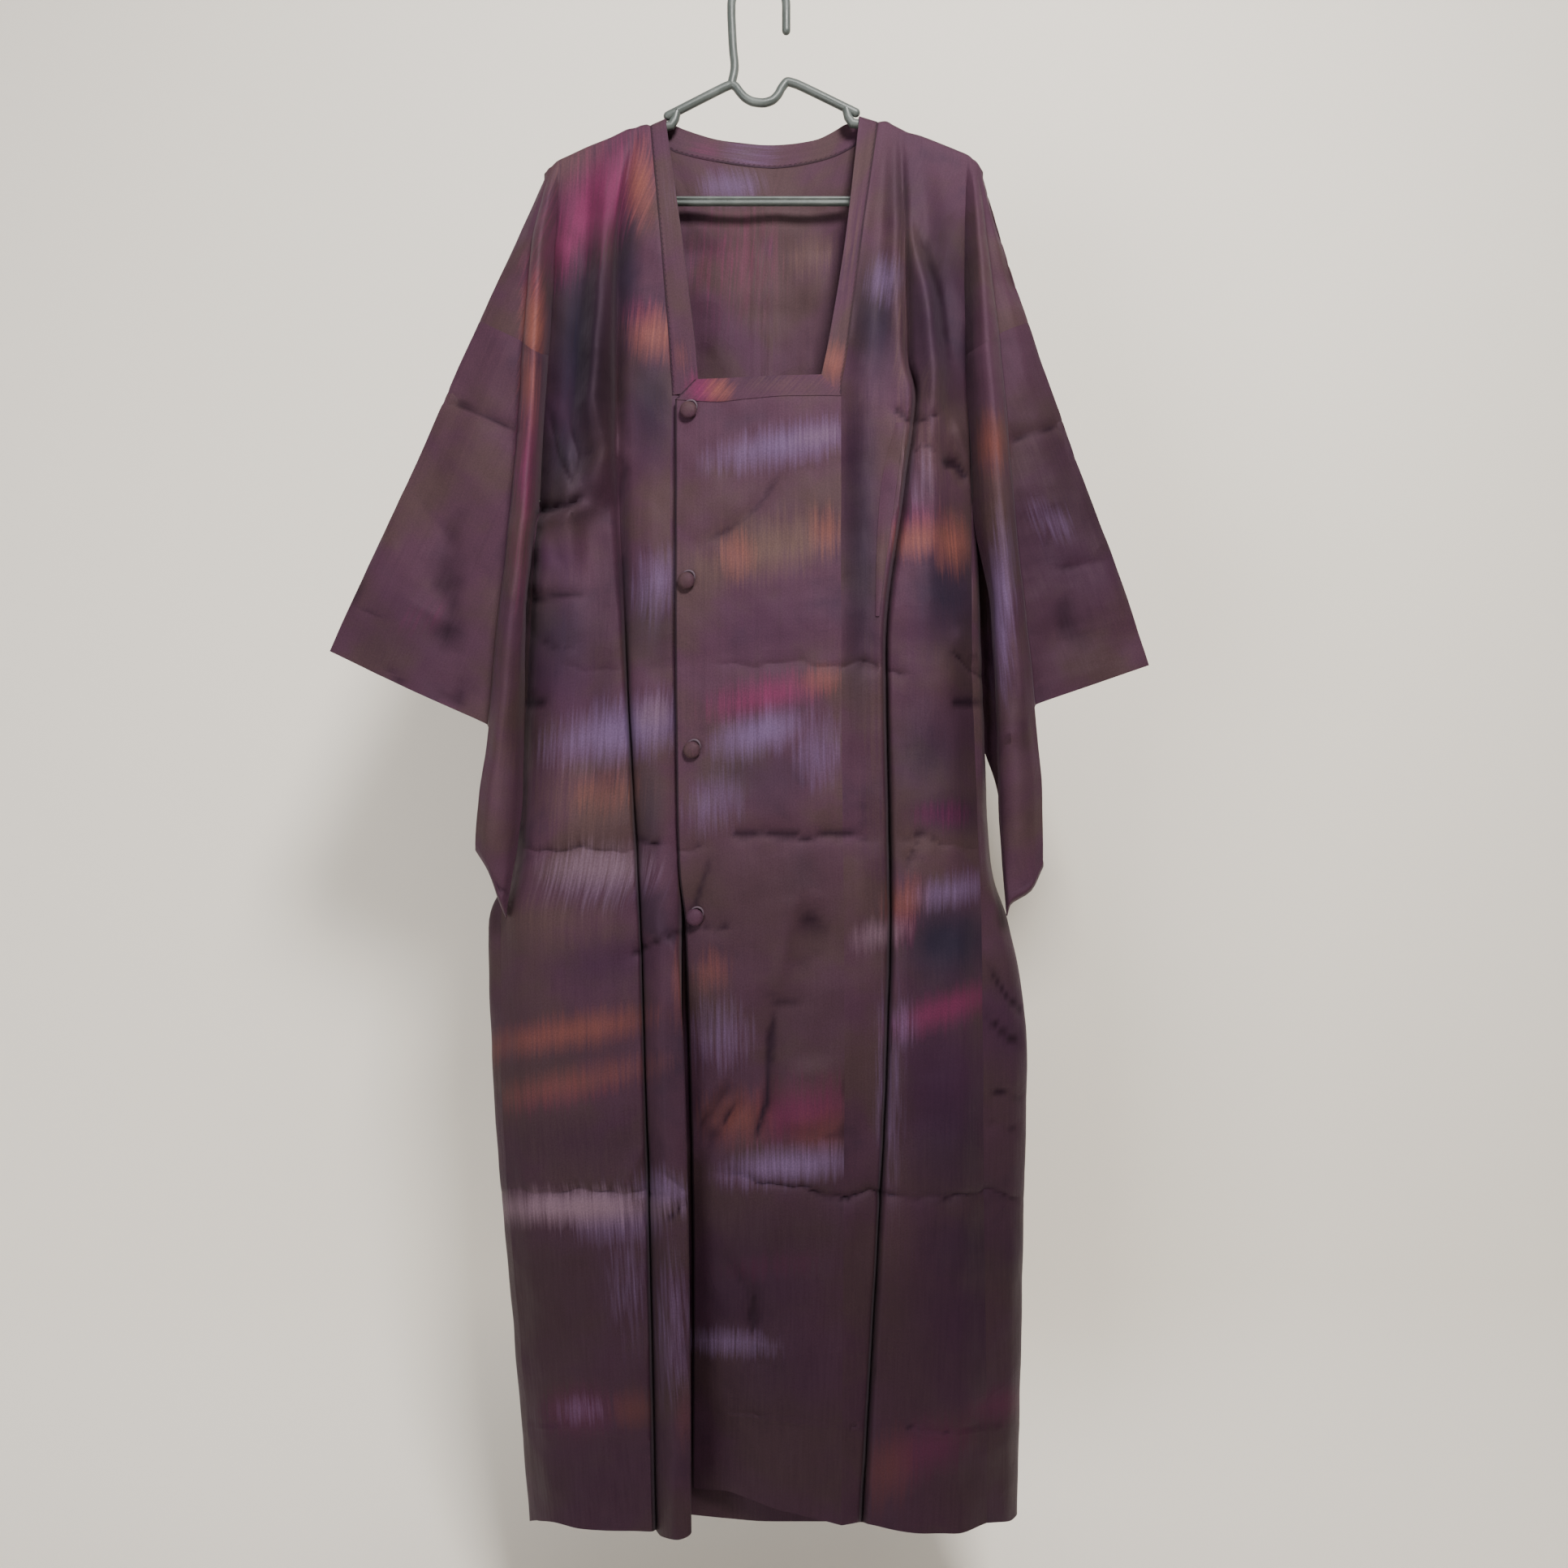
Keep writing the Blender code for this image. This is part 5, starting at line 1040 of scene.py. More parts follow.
LEFT_DYES = {
    "rose": ((1130, 640, 30, 16, 0.4), (1165, 1003, 36, 14, 0.35), (1110, 1140, 20, 20, 0.5),
             (1165, 1243, 52, 15, 1.0, -0.35), (1135, 1790, 50, 26, 0.7, -0.4),
             (1228, 1732, 30, 15, 0.7, -0.2)),
    "ember": ((1133, 664, 30, 18, 0.75, -0.1), (1172, 668, 18, 24, 0.8, 0.2),
              (1112, 1112, 22, 20, 0.7, -0.3), (1095, 1810, 24, 34, 0.6, -0.4)),
    "tan": ((1112, 400, 10, 90, 0.4), (1140, 540, 30, 60, 0.4), (1080, 960, 18, 160, 0.3),
            (1100, 1520, 26, 60, 0.4)),
    "lilac": ((1089, 345, 18, 20, 0.65, -0.2), (1130, 590, 20, 40, 0.25),
              (1172, 1098, 36, 15, 0.65, -0.2), (1112, 1262, 14, 24, 0.4),
              (1095, 1330, 16, 120, 0.3)),
    "ink": ((1078, 400, 26, 60, 0.75), (1155, 380, 34, 110, 0.55), (1120, 240, 30, 60, 0.35),
            (1062, 690, 18, 130, 0.7), (1170, 735, 36, 50, 0.75), (1140, 930, 40, 50, 0.5),
            (1165, 1162, 44, 44, 1.0), (1175, 1420, 44, 60, 0.4), (1190, 1530, 56, 34, 0.4)),
    "violet": ((1060, 560, 26, 60, 0.5), (1130, 800, 30, 60, 0.4), (1165, 1003, 40, 18, 0.9),
               (1160, 1350, 52, 90, 0.85), (1195, 1620, 56, 110, 0.65)),
    "pale": ((1085, 1150, 30, 14, 0.6, -0.2),),
    "umber": ((1098, 220, 20, 50, 0.4), (1160, 840, 40, 34, 0.35), (1120, 1650, 40, 90, 0.6),
              (1200, 1830, 60, 40, 0.5)),
    # painted shade down the folds' valleys and over the panel's side turned from the light
    "shade": ((1050, 640, 18, 250, 0.5), (1086, 1050, 26, 260, 0.45), (1196, 480, 24, 150, 0.4),
              (1196, 900, 30, 150, 0.6), (1150, 1360, 80, 220, 0.5), (1150, 900, 70, 60, 0.3)),
}
BAND_DYES = {
    "rose": ((870, 188, 20, 14, 0.25), (868, 480, 17, 16, 1.0)),
    "ember": ((1028, 448, 14, 18, 0.7), (886, 481, 14, 14, 0.75), (838, 440, 10, 22, 0.25)),
    "tan": ((1050, 300, 16, 60, 0.3), (960, 474, 50, 12, 0.25)),
    "lilac": ((925, 190, 30, 18, 0.4), (830, 240, 14, 60, 0.15)),
    "umber": ((845, 420, 14, 50, 0.25),),
}
SLEEVE_DYES = {
    "rose": ((650, 570, 12, 80, 0.55), (644, 690, 14, 60, 0.3), (520, 760, 30, 20, 0.2, -0.5)),
    "ember": ((652, 470, 10, 40, 0.6), (1222, 548, 15, 26, 0.75)),
    "tan": ((632, 900, 20, 80, 0.2), (1226, 610, 14, 50, 0.5)),
    "lilac": ((1234, 745, 12, 70, 0.75), (1292, 640, 28, 20, 0.3, 0.3)),
    "violet": ((480, 780, 70, 60, 0.3), (1242, 860, 16, 70, 0.4), (1330, 640, 70, 90, 0.45)),
    "umber": ((560, 600, 60, 80, 0.25), (600, 480, 50, 60, 0.3), (1300, 520, 50, 40, 0.5),
              (1330, 800, 60, 50, 0.25)),
    # painted shade over the sleeves' sides turned from the light and along their strips' inner edges
    "shade": ((1310, 640, 90, 260, 0.5), (1262, 900, 12, 130, 0.4), (520, 800, 90, 90, 0.25),
              (628, 900, 12, 160, 0.35)),
}
BACK_DYES = {
    "rose": ((905, 320, 50, 60, 0.3),),
    "tan": ((1000, 315, 26, 18, 0.6, -0.2),),
    "lilac": ((900, 230, 30, 15, 0.75),),
    "violet": ((890, 420, 46, 50, 0.3),),
    "umber": ((1000, 400, 50, 70, 0.4),),
}
GORE_DYES = {
    "rose": ((1240, 1728, 30, 16, 0.7, -0.2),),
    "ember": ((612, 1290, 20, 16, 0.6, -0.2),),
    "ink": ((1240, 1540, 40, 40, 0.3),),
    "violet": ((1240, 1260, 40, 90, 0.5),),
    "pale": ((625, 1487, 20, 14, 0.7),),
    "umber": ((1240, 1420, 40, 60, 0.4), (620, 1250, 30, 120, 0.4), (640, 1650, 30, 90, 0.4)),
}
# Which dyes are brushed on each kind of piece but the bodies
BRUSHED = {"overlap": CENTRE_DYES, "neckband": BAND_DYES, "sleeve": SLEEVE_DYES, "gore": GORE_DYES}
# Behind, the fronts' dyes are turned about this column, lowered, and come in below this step of
# the picture's frame, over so many steps
BACK_MIRROR = 1905.0
BACK_LOWER = 26.0
BACK_STARTS, BACK_FADE = 520.0, 80
# How a spot fades across and down, and how fast
SPOT_ACROSS, SPOT_DOWN, SPOT_FADE = 2.4, 1.8, 0.6
# Painted shade darkens the cloth towards the hem: between these steps of the picture's frame, how
# much
SHADE_STARTS, SHADE_ENDS, SHADE_MOST = 860, 1560, 0.66


def brush(table, across, down):
    """How much of each dye, and of painted shade, lies at spots in the picture's frame."""
    worth = np.zeros(across.shape + (DYE_COUNT,))
    for dye, spots in table.items():
        k = DYES.index(dye)
        for spot in (Spot(*row) for row in spots):
            aside = (across - spot.across) / spot.half_width
            below = (down - spot.down - spot.fall * (across - spot.across)) / spot.half_height
            gap = np.abs(aside) ** SPOT_ACROSS + np.abs(below) ** SPOT_DOWN
            worth[..., k] = np.maximum(worth[..., k], spot.strength * np.exp(-gap * SPOT_FADE))
    # painted shade, more of it towards the hem
    k = DYES.index("shade")
    low = np.clip((down - SHADE_STARTS) / (SHADE_ENDS - SHADE_STARTS), 0, 1)
    worth[..., k] = np.maximum(worth[..., k], SHADE_MOST * low)
    return worth


def dyes_of(grid):
    """How much of each dye, and of painted shade, every point of a grid takes."""
    across, down = in_picture(grid["base"])
    piece = grid["piece"]
    if not piece.startswith("body"):
        return brush(BRUSHED[piece.split("_")[0]], across, down)
    mine, other = (RIGHT_DYES, LEFT_DYES) if piece == "body_right" else (LEFT_DYES, RIGHT_DYES)
    if grid["facing"] == "front":
        return brush(mine, across, down)
    far = np.clip((down - BACK_STARTS) / BACK_FADE, 0, 1)[..., None]
    turned = np.maximum(brush(other, BACK_MIRROR - across, down - BACK_LOWER),
                        brush(CENTRE_DYES, BACK_MIRROR - across, down + BACK_LOWER))
    return np.maximum(brush(BACK_DYES, across, down) * (1 - far), turned * far)


# Painted shade in the creases' hollows: passes of the mean, mm below it where the shade starts,
# its worth for each mm more, the most, and the share left of a brushed shade that it is added to
CREASE_SHADE_PASSES = 6
CREASE_SHADE_STARTS, CREASE_SHADE_PER_MM, CREASE_SHADE_MOST, CREASE_SHADE_UNDER = 0.45, 0.34, 0.72, 0.5


def with_painted_crease_shade(worth, moved, facing):
    """The dyes, with painted shade laid in the creases' hollows."""
    rise = moved if facing == "back" else -moved
    mean = rise
    rows, columns = rise.shape
    for _ in range(CREASE_SHADE_PASSES):
        wide = np.pad(mean, 1, mode="edge")
        mean = sum(wide[i:i + rows, j:j + columns] for i in range(3) for j in range(3)) / 9
    k = DYES.index("shade")
    # painted shade where the cloth lies below its neighbours' mean
    hollow = np.clip((mean - rise - CREASE_SHADE_STARTS) * CREASE_SHADE_PER_MM, 0, CREASE_SHADE_MOST)
    worth[..., k] = np.maximum(worth[..., k], worth[..., k] * CREASE_SHADE_UNDER + hollow)
    return worth


class Wires:
    """Adds nodes to a tree and wires them by name."""

    def __init__(self, tree):
        self.tree = tree

    def node(self, kind, values=(), **settings):
        made = self.tree.nodes.new(kind)
        for name, value in settings.items():
            setattr(made, name, value)
        for socket, value in dict(values).items():
            self.feed(value, made.inputs[socket])
        return made

    def feed(self, value, socket):
        if isinstance(value, bpy.types.NodeSocket):
            self.tree.links.new(value, socket)
        else:
            socket.default_value = value

    def sum(self, operation, *values):
        made = self.node("ShaderNodeMath", operation=operation)
        for socket, value in zip(made.inputs, values):
            self.feed(value, socket)
        return made.outputs[0]

    def blend(self, share, below, above):
        made = self.node("ShaderNodeMix", data_type="RGBA")
        self.feed(share, made.inputs[0])
        self.feed(below, made.inputs[6])
        self.feed(above, made.inputs[7])
        return made.outputs[2]

    def ramp(self, value, low, high, out_low=0.0, out_high=1.0, smooth=True):
        made = self.node("ShaderNodeMapRange", {"Value": value, "From Min": low, "From Max": high,
                                                "To Min": out_low, "To Max": out_high})
        made.interpolation_type = "SMOOTHSTEP" if smooth else "LINEAR"
        return made.outputs["Result"]

    def stretched(self, vector, scale):
        made = self.node("ShaderNodeVectorMath", operation="MULTIPLY")
        self.feed(vector, made.inputs[0])
        made.inputs[1].default_value = scale
        return made.outputs[0]

    def noise(self, vector, scale, detail, rough=0.5):
        made = self.node("ShaderNodeTexNoise", {"Vector": vector, "Scale": scale,
                                                "Detail": detail, "Roughness": rough})
        return made.outputs["Fac"]

    def cloth_noise(self, lengths, across, down, detail, rough=0.5):
        """Noise with so many waves to a metre across and down the cloth."""
        return self.noise(self.stretched(lengths, (across, down, 1.0)), 1.0, detail, rough)

    def bump(self, height, shader, strength, distance):
        made = self.node("ShaderNodeBump", {"Height": height, "Strength": strength,
                                            "Distance": distance})
        self.feed(made.outputs[0], shader.inputs["Normal"])

    def split(self, lengths):
        """The lengths across and down the cloth, apart."""
        return self.node("ShaderNodeSeparateXYZ", {"Vector": lengths}).outputs


def new_group(name, inputs, outputs):
    """The wires and both ends of a new shader node group with named inputs and outputs."""
    group = bpy.data.node_groups.new(name, "ShaderNodeTree")
    for side, names in (("INPUT", inputs), ("OUTPUT", outputs)):
        for socket, kind in names.items():
            group.interface.new_socket(name=socket, in_out=side,
                                       socket_type="NodeSocket" + kind)
    wires = Wires(group)
    start = wires.node("NodeGroupInput")
    end = wires.node("NodeGroupOutput")
    return wires, start.outputs, end.inputs


def use_group(wires, name, values):
    made = wires.node("ShaderNodeGroup")
    made.node_tree = bpy.data.node_groups[name]
    for socket, value in values.items():
        wires.feed(value, made.inputs[socket])
    return made.outputs


# Warp noises: waves to a metre across and down the cloth, octaves, and roughness
FINE_THREADS = (1300.0, 40.0, 1.0)
COARSE_THREADS = (430.0, 24.0, 1.0)
THREAD_RUNS = (300.0, 6.0, 3.0, 0.6)
DYE_CLOUDS = (7.5, 9.0, 4.0, 0.55)
FINE_SHARE = 0.35


def build_warp_group():
    """Single warp threads, longer runs of them, and soft clouds, all along the cloth's length."""
    w, given, out = new_group("Silk warp", {"Lengths": "Vector"},
                              {"Threads": "Float", "Runs": "Float", "Clouds": "Float"})
    at = given["Lengths"]
    fine = w.cloth_noise(at, *FINE_THREADS)
    coarse = w.cloth_noise(at, *COARSE_THREADS)
    w.feed(w.sum("ADD", w.sum("MULTIPLY", fine, FINE_SHARE),
                 w.sum("MULTIPLY", coarse, 1 - FINE_SHARE)), out["Threads"])
    w.feed(w.cloth_noise(at, *THREAD_RUNS), out["Runs"])
    w.feed(w.cloth_noise(at, *DYE_CLOUDS), out["Clouds"])


# Feathering: the amount at which a dye is all there, and from where to where its threads take it
FEATHER_PRESENT = 0.2
FEATHER_MASK = (0.10, 0.95, 0.0, 1.0)


def build_feather_group():
    """A brushed dye, its edge feathered thread by thread."""
    w, given, out = new_group("Feathered dye",
                              {"Amount": "Float", "Threads": "Float", "Feather": "Float"},
                              {"Mask": "Float"})
    centred = w.sum("SUBTRACT", given["Threads"], 0.5)
    pushed = w.sum("MULTIPLY_ADD", centred, given["Feather"], given["Amount"])
    present = w.ramp(given["Amount"], 0.0, FEATHER_PRESENT)
    mask = w.ramp(pushed, *FEATHER_MASK, False)
    w.feed(w.sum("MULTIPLY", mask, present), out["Mask"])


# Weave: turns to a metre of its ribs and warps, and noises as for the warp
WEAVE_RIBS = 2 * math.pi / 0.00055
WEAVE_WARPS = 2 * math.pi / 0.00040
CREPE_GRAIN = (900.0, 900.0, 1.0)
SOFT_CRUMPLES = (30.0, 38.0, 2.0, 0.5)
SHARP_CRUMPLES = (17.0, 21.0, 2.0, 0.45)
# Height of each, and how sharp the sharp ones are
WARP_HEIGHT, WEAVE_HEIGHT, GRAIN_HEIGHT = 0.6, 0.03, 0.07
SOFT_HEIGHT, SHARP_HEIGHT, SHARPNESS = 2.2, 0.55, 6.0


def build_weave_group():
    """Fine taffeta ribs across the cloth, a faint crepe grain and soft crumples, as a height."""
    w, given, out = new_group("Silk weave", {"Lengths": "Vector", "Crumple": "Float"},
                              {"Height": "Float"})
    at = given["Lengths"]
    across, down, _ = w.split(at)
    ribs = w.sum("SINE", w.sum("MULTIPLY", down, WEAVE_RIBS))
    warps = w.sum("SINE", w.sum("MULTIPLY", across, WEAVE_WARPS))
    grain = w.cloth_noise(at, *CREPE_GRAIN)
    crumple = w.cloth_noise(at, *SOFT_CRUMPLES)
    ridge = w.cloth_noise(at, *SHARP_CRUMPLES)
    ridge = w.sum("ABSOLUTE", w.sum("SUBTRACT", ridge, 0.5))
    ridge = w.sum("POWER", w.sum("SUBTRACT", 1.0, w.sum("MULTIPLY", ridge, 2.0)), SHARPNESS)
    dents = w.sum("MULTIPLY_ADD", ridge, SHARP_HEIGHT, w.sum("MULTIPLY", crumple, SOFT_HEIGHT))
    height = w.sum("MULTIPLY", w.sum("ADD", ribs, w.sum("MULTIPLY", warps, WARP_HEIGHT)),
                   WEAVE_HEIGHT)
    height = w.sum("MULTIPLY_ADD", grain, GRAIN_HEIGHT, height)
    w.feed(w.sum("MULTIPLY_ADD", dents, given["Crumple"], height), out["Height"])


# Silk colours: plain ground, then each dye and the painted shade, as linear red, green, blue
GROUND = (0.048, 0.020, 0.034)
GROUND_BROWN = (0.047, 0.026, 0.027)
GROUND_INK = (0.017, 0.0105, 0.021)
DYE_COLOURS = {
    "rose": (0.106, 0.017, 0.050), "ember": (0.140, 0.047, 0.037), "tan": (0.074, 0.044, 0.036),
    "lilac": (0.088, 0.054, 0.110), "ink": (0.010, 0.009, 0.019), "violet": (0.026, 0.008, 0.026),
    "pale": (0.108, 0.067, 0.088), "umber": (0.037, 0.021, 0.021), "shade": (0.0075, 0.0020, 0.0055),
}
# Darker dyes lie first, the brighter ones over them, the painted shade before lilac and pale; the
# soft ones are feathered less
DYE_ORDER = ("umber", "violet", "ink", "tan", "rose", "ember", "shade", "lilac", "pale")
SOFT_DYES = ("umber", "violet", "ink", "shade")
SOFT_FEATHER = 0.3
# Clouds of the ground: where brown comes in, and where ink goes out and its most
BROWN_CLOUDS = (0.44, 0.60)
INK_CLOUDS = (0.30, 0.44, 0.6, 0.0)
# Threads' share of a feathered edge, the rest being their runs'
THREAD_SHARE = 0.6
# How the colour varies along runs and threads and in the crepe: noise from and to, share from and to
RUN_TONES = (0.25, 0.75, 0.90, 1.10)
THREAD_TONES = (0.25, 0.75, 0.93, 1.07)
CREPE_TONES = (0.3, 0.7, 0.86, 1.14)
CREPE_DOTS = (760.0, 620.0, 2.0)


def build_colour_group():
    """The space-dyed ground with every brushed dye and the painted shade over it."""
    w, given, out = new_group(
        "Space-dyed silk with painted shade", {"Lengths": "Vector", **dict.fromkeys(LAYER_SOCKETS, "Color"),
                            "Feather": "Float"}, {"Colour": "Color", "Threads": "Float"})
    warp = use_group(w, "Silk warp", {"Lengths": given["Lengths"]})
    clouds = w.ramp(warp["Clouds"], *BROWN_CLOUDS)
    colour = w.blend(clouds, (*GROUND, 1.0), (*GROUND_BROWN, 1.0))
    inked = w.ramp(warp["Clouds"], *INK_CLOUDS)
    colour = w.blend(inked, colour, (*GROUND_INK, 1.0))
    amounts = []
    for layer in LAYER_SOCKETS:
        amounts += list(w.node("ShaderNodeSeparateColor", {"Color": given[layer]}).outputs)
    mixed = w.sum("ADD", w.sum("MULTIPLY", warp["Threads"], THREAD_SHARE),
                  w.sum("MULTIPLY", warp["Runs"], 1 - THREAD_SHARE))
    soft = w.sum("MULTIPLY", given["Feather"], SOFT_FEATHER)
    for dye in DYE_ORDER:
        feather = soft if dye in SOFT_DYES else given["Feather"]
        mask = use_group(w, "Feathered dye", {"Amount": amounts[DYES.index(dye)],
                                              "Threads": mixed, "Feather": feather})["Mask"]
        colour = w.blend(mask, colour, (*DYE_COLOURS[dye], 1.0))
    streak = w.ramp(warp["Runs"], *RUN_TONES, False)
    thread = w.ramp(warp["Threads"], *THREAD_TONES, False)
    crepe = w.cloth_noise(given["Lengths"], *CREPE_DOTS)
    worth = w.sum("MULTIPLY", w.sum("MULTIPLY", streak, thread),
                  w.ramp(crepe, *CREPE_TONES, False))
    tint = w.node("ShaderNodeVectorMath", {"Vector": colour, "Scale": worth}, operation="SCALE")
    w.feed(tint.outputs[0], out["Colour"])
    w.feed(warp["Threads"], out["Threads"])


# Hand stitches: a row's half width, m, and a stitch's half length in its pitch, from full to none;
# then their inset from the seam and their pitch, m, how dark they are, and how deep
STITCH_WIDE = (0.0003, 0.0008, 1.0, 0.0)
STITCH_LONG = (0.14, 0.24, 1.0, 0.0)
STITCH_INSET, STITCH_PITCH = 0.0016, 0.0048
STITCH_DARK, STITCH_DEPTH = 0.45, -0.5
STITCH_COLOUR = (0.03, 0.016, 0.026, 1.0)
# Painted shadow along a piece's first edge: its width, m, and colour
EDGE_SHADOW_FROM, EDGE_SHADOW_TO = 0.0008, 0.0022
EDGE_SHADOW_COLOUR = (0.004, 0.002, 0.003, 1.0)


def build_stitch_group():
    """A row of hand stitches a set way in from a piece's sewn edge, as a mask."""
    w, given, out = new_group("Hand stitches",
                              {"Lengths": "Vector", "Inset": "Float", "Pitch": "Float"},
                              {"Stitch": "Float"})
    across, down, _ = w.split(given["Lengths"])
    off = w.sum("ABSOLUTE", w.sum("SUBTRACT", across, given["Inset"]))
    row = w.ramp(off, *STITCH_WIDE)
    place = w.sum("FRACT", w.sum("DIVIDE", down, given["Pitch"]))
    dash = w.ramp(w.sum("ABSOLUTE", w.sum("SUBTRACT", place, 0.5)), *STITCH_LONG)
    w.feed(w.sum("MULTIPLY", row, dash), out["Stitch"])


def new_material(name, finish):
    """A material with one shader, the values of whose plain sockets are given."""
    made = bpy.data.materials.new(name)
    made.use_nodes = True
    made.node_tree.nodes.clear()
    wires = Wires(made.node_tree)
    shader = wires.node("ShaderNodeBsdfPrincipled", finish)
    end = wires.node("ShaderNodeOutputMaterial")
    wires.feed(shader.outputs[0], end.inputs["Surface"])
    return made, wires, shader


# Silk: its plain sockets, threads from rough to smooth and by how much, and bump strength and m
SILK_FINISH = {"Sheen Roughness": 0.45, "Sheen Tint": (0.95, 0.80, 0.92, 1.0),
               "Specular IOR Level": 0.16, "Specular Tint": (1.0, 0.72, 0.94, 1.0)}
SILK_THREADS, ROUGHNESS_SWING = (0.3, 0.7), 0.05
SILK_BUMP = (0.7, 0.001)
# Plastic: noises (scale, octaves, roughness), scuffs from and to, their roughness, colour and bump
MOULD_GRAIN, PLASTIC_BUMP = (420.0, 3.0), (0.25, 0.0004)
SCUFFS, SCUFF_SHOWS = (38.0, 4.0, 0.6), (0.45, 0.75)
SCUFF_ROUGHNESS = (0.3, 0.7, 0.34, 0.5)
SCUFF_COLOUR = (0.105, 0.118, 0.110, 1.0)
# Loops' silk: grain, bump, finish and the two colours of its grain
LOOP_GRAIN, LOOP_BUMP, LOOP_FINISH = (900.0, 2.0), (0.4, 0.0004), {"Roughness": 0.6}
LOOP_COLOURS = ((0.035, 0.018, 0.028, 1.0), (0.075, 0.042, 0.062, 1.0))
# Paper: finish, soft clouds, and the clouds' share of its colour
PAPER_FINISH, PAPER_CLOUDS, PAPER_CLOUD = {"Roughness": 0.95}, (2.0, 3.0), 0.97


def silk_material(name, looks, crumple, stitches, edge):
    """Space-dyed silk with a painted shadow along its first edge; stitches run beside a band's seam.
    """
    made, w, shader = new_material(name, {"Sheen Weight": looks.sheen, **SILK_FINISH})
    lengths = w.node("ShaderNodeUVMap", uv_map="cloth_lengths").outputs[0]
    layers = [w.node("ShaderNodeAttribute", attribute_name=layer).outputs["Color"]
              for layer in DYE_LAYERS]
    dyed = use_group(w, "Space-dyed silk with painted shade", {"Lengths": lengths, "Feather": looks.feather,
                                            **dict(zip(LAYER_SOCKETS, layers))})
    weave = use_group(w, "Silk weave", {"Lengths": lengths, "Crumple": crumple})
    colour, height = dyed["Colour"], weave["Height"]
    if stitches:
        stitch = use_group(w, "Hand stitches", {"Lengths": lengths, "Inset": STITCH_INSET,
                                                "Pitch": STITCH_PITCH})["Stitch"]
        colour = w.blend(w.sum("MULTIPLY", stitch, STITCH_DARK), colour, STITCH_COLOUR)
        height = w.sum("MULTIPLY_ADD", stitch, STITCH_DEPTH, height)
    # painted shadow along the first edge, as dark as edge asks
    if edge:
        turned = w.ramp(w.split(lengths)[0], EDGE_SHADOW_FROM, EDGE_SHADOW_TO, edge, 0.0)
        colour = w.blend(turned, colour, EDGE_SHADOW_COLOUR)
    w.feed(colour, shader.inputs["Base Color"])
    w.feed(w.ramp(dyed["Threads"], *SILK_THREADS, looks.roughness - ROUGHNESS_SWING,
                  looks.roughness + ROUGHNESS_SWING), shader.inputs["Roughness"])
    w.bump(height, shader, *SILK_BUMP)
    return made


def plastic_material(looks):
    """Grey-green moulded plastic, satin, with a faint moulding grain and scuffs."""
    made, w, shader = new_material("hanger plastic", {})
    place = w.node("ShaderNodeTexCoord").outputs["Object"]
    scuff = w.noise(place, *SCUFFS)
    colour = w.blend(w.ramp(scuff, *SCUFF_SHOWS), (*looks.plastic, 1.0), SCUFF_COLOUR)
    w.feed(colour, shader.inputs["Base Color"])
    w.feed(w.ramp(scuff, *SCUFF_ROUGHNESS), shader.inputs["Roughness"])
    w.bump(w.noise(place, *MOULD_GRAIN), shader, *PLASTIC_BUMP)
    return made


def thread_material():
    """Dark buttonhole silk of the loops."""
    made, w, shader = new_material("loop silk", LOOP_FINISH)
    grain = w.noise(w.node("ShaderNodeTexCoord").outputs["Object"], *LOOP_GRAIN)
    w.feed(w.blend(grain, *LOOP_COLOURS), shader.inputs["Base Color"])
    w.bump(grain, shader, *LOOP_BUMP)
    return made


def stage_material(looks):
    """Matt pale paper."""
    made, w, shader = new_material("studio paper", PAPER_FINISH)
    cloud = w.noise(w.node("ShaderNodeTexCoord").outputs["Object"], *PAPER_CLOUDS)
    pale = tuple(looks.paper)
    w.feed(w.blend(cloud, (*pale, 1.0), (*(c * PAPER_CLOUD for c in pale), 1.0)),
           shader.inputs["Base Color"])
    return made


def front_face(tree, across, height):
    """The point of a cloth's front that shows at a width and height in the hanger's plane, mm."""
    eye = Vector((EYE_X, EYE_Y, EYE_Z))
    aim = (Vector((across, 0.0, height)) - eye).normalized()
    place, normal, _, _ = tree.ray_cast(eye, aim)
    if normal.dot(aim) > 0:
        normal = -normal
    return place, normal


def tree_of(made):
    """The object's faces, in mm, to lay other pieces on."""
    points = [v.co / MM for v in made.data.vertices]
    return BVHTree.FromPolygons(points, [tuple(p.vertices) for p in made.data.polygons])


def ring_faces(rings, sides):
    """Faces through rings of points one after another, with a flat face at each end."""
    faces = []
    for i in range(rings - 1):
        for k in range(sides):
            a, b = i * sides + k, i * sides + (k + 1) % sides
            faces.append([a, b, b + sides, a + sides])
    faces.append(list(reversed(range(sides))))
    faces.append([(rings - 1) * sides + k for k in range(sides)])
    return faces


def tube(path, deep, tall):
    """A rod along a path in the hanger's plane, mitred at its bends, with flat ends.

    deep and tall are its half sizes, one for each point or one for all.
    """
    deep, tall = (size if isinstance(size, list) else [size] * len(path) for size in (deep, tall))
    path = [np.array(p, float) for p in path]
    points = []
    for i, place in enumerate(path):
        before = place - path[i - 1] if i else path[1] - place
        after = path[i + 1] - place if i < len(path) - 1 else before
        before, after = before / np.linalg.norm(before), after / np.linalg.norm(after)
        along = (before + after) / np.linalg.norm(before + after)
        across = np.array((-along[1], along[0])) / max(float(np.dot(along, after)), BEND_LIMIT)
        wide, thick = tall[i], deep[i]
        for k in range(ROUND_SIDES):
            turn = 2 * math.pi * (k + 0.5) / ROUND_SIDES
            spot = place + across * wide * math.sin(turn)
            points.append((spot[0], thick * math.cos(turn), spot[1]))
    return points, ring_faces(len(path), ROUND_SIDES)


def softened(path, steps):
    """A path with its bends rounded, as moulded."""
    knots = range(len(path))
    at = np.linspace(0, len(path) - 1, steps)
    columns = [glide(knots, [p[k] for p in path], at) for k in (0, 1)]
    return list(zip(*columns))


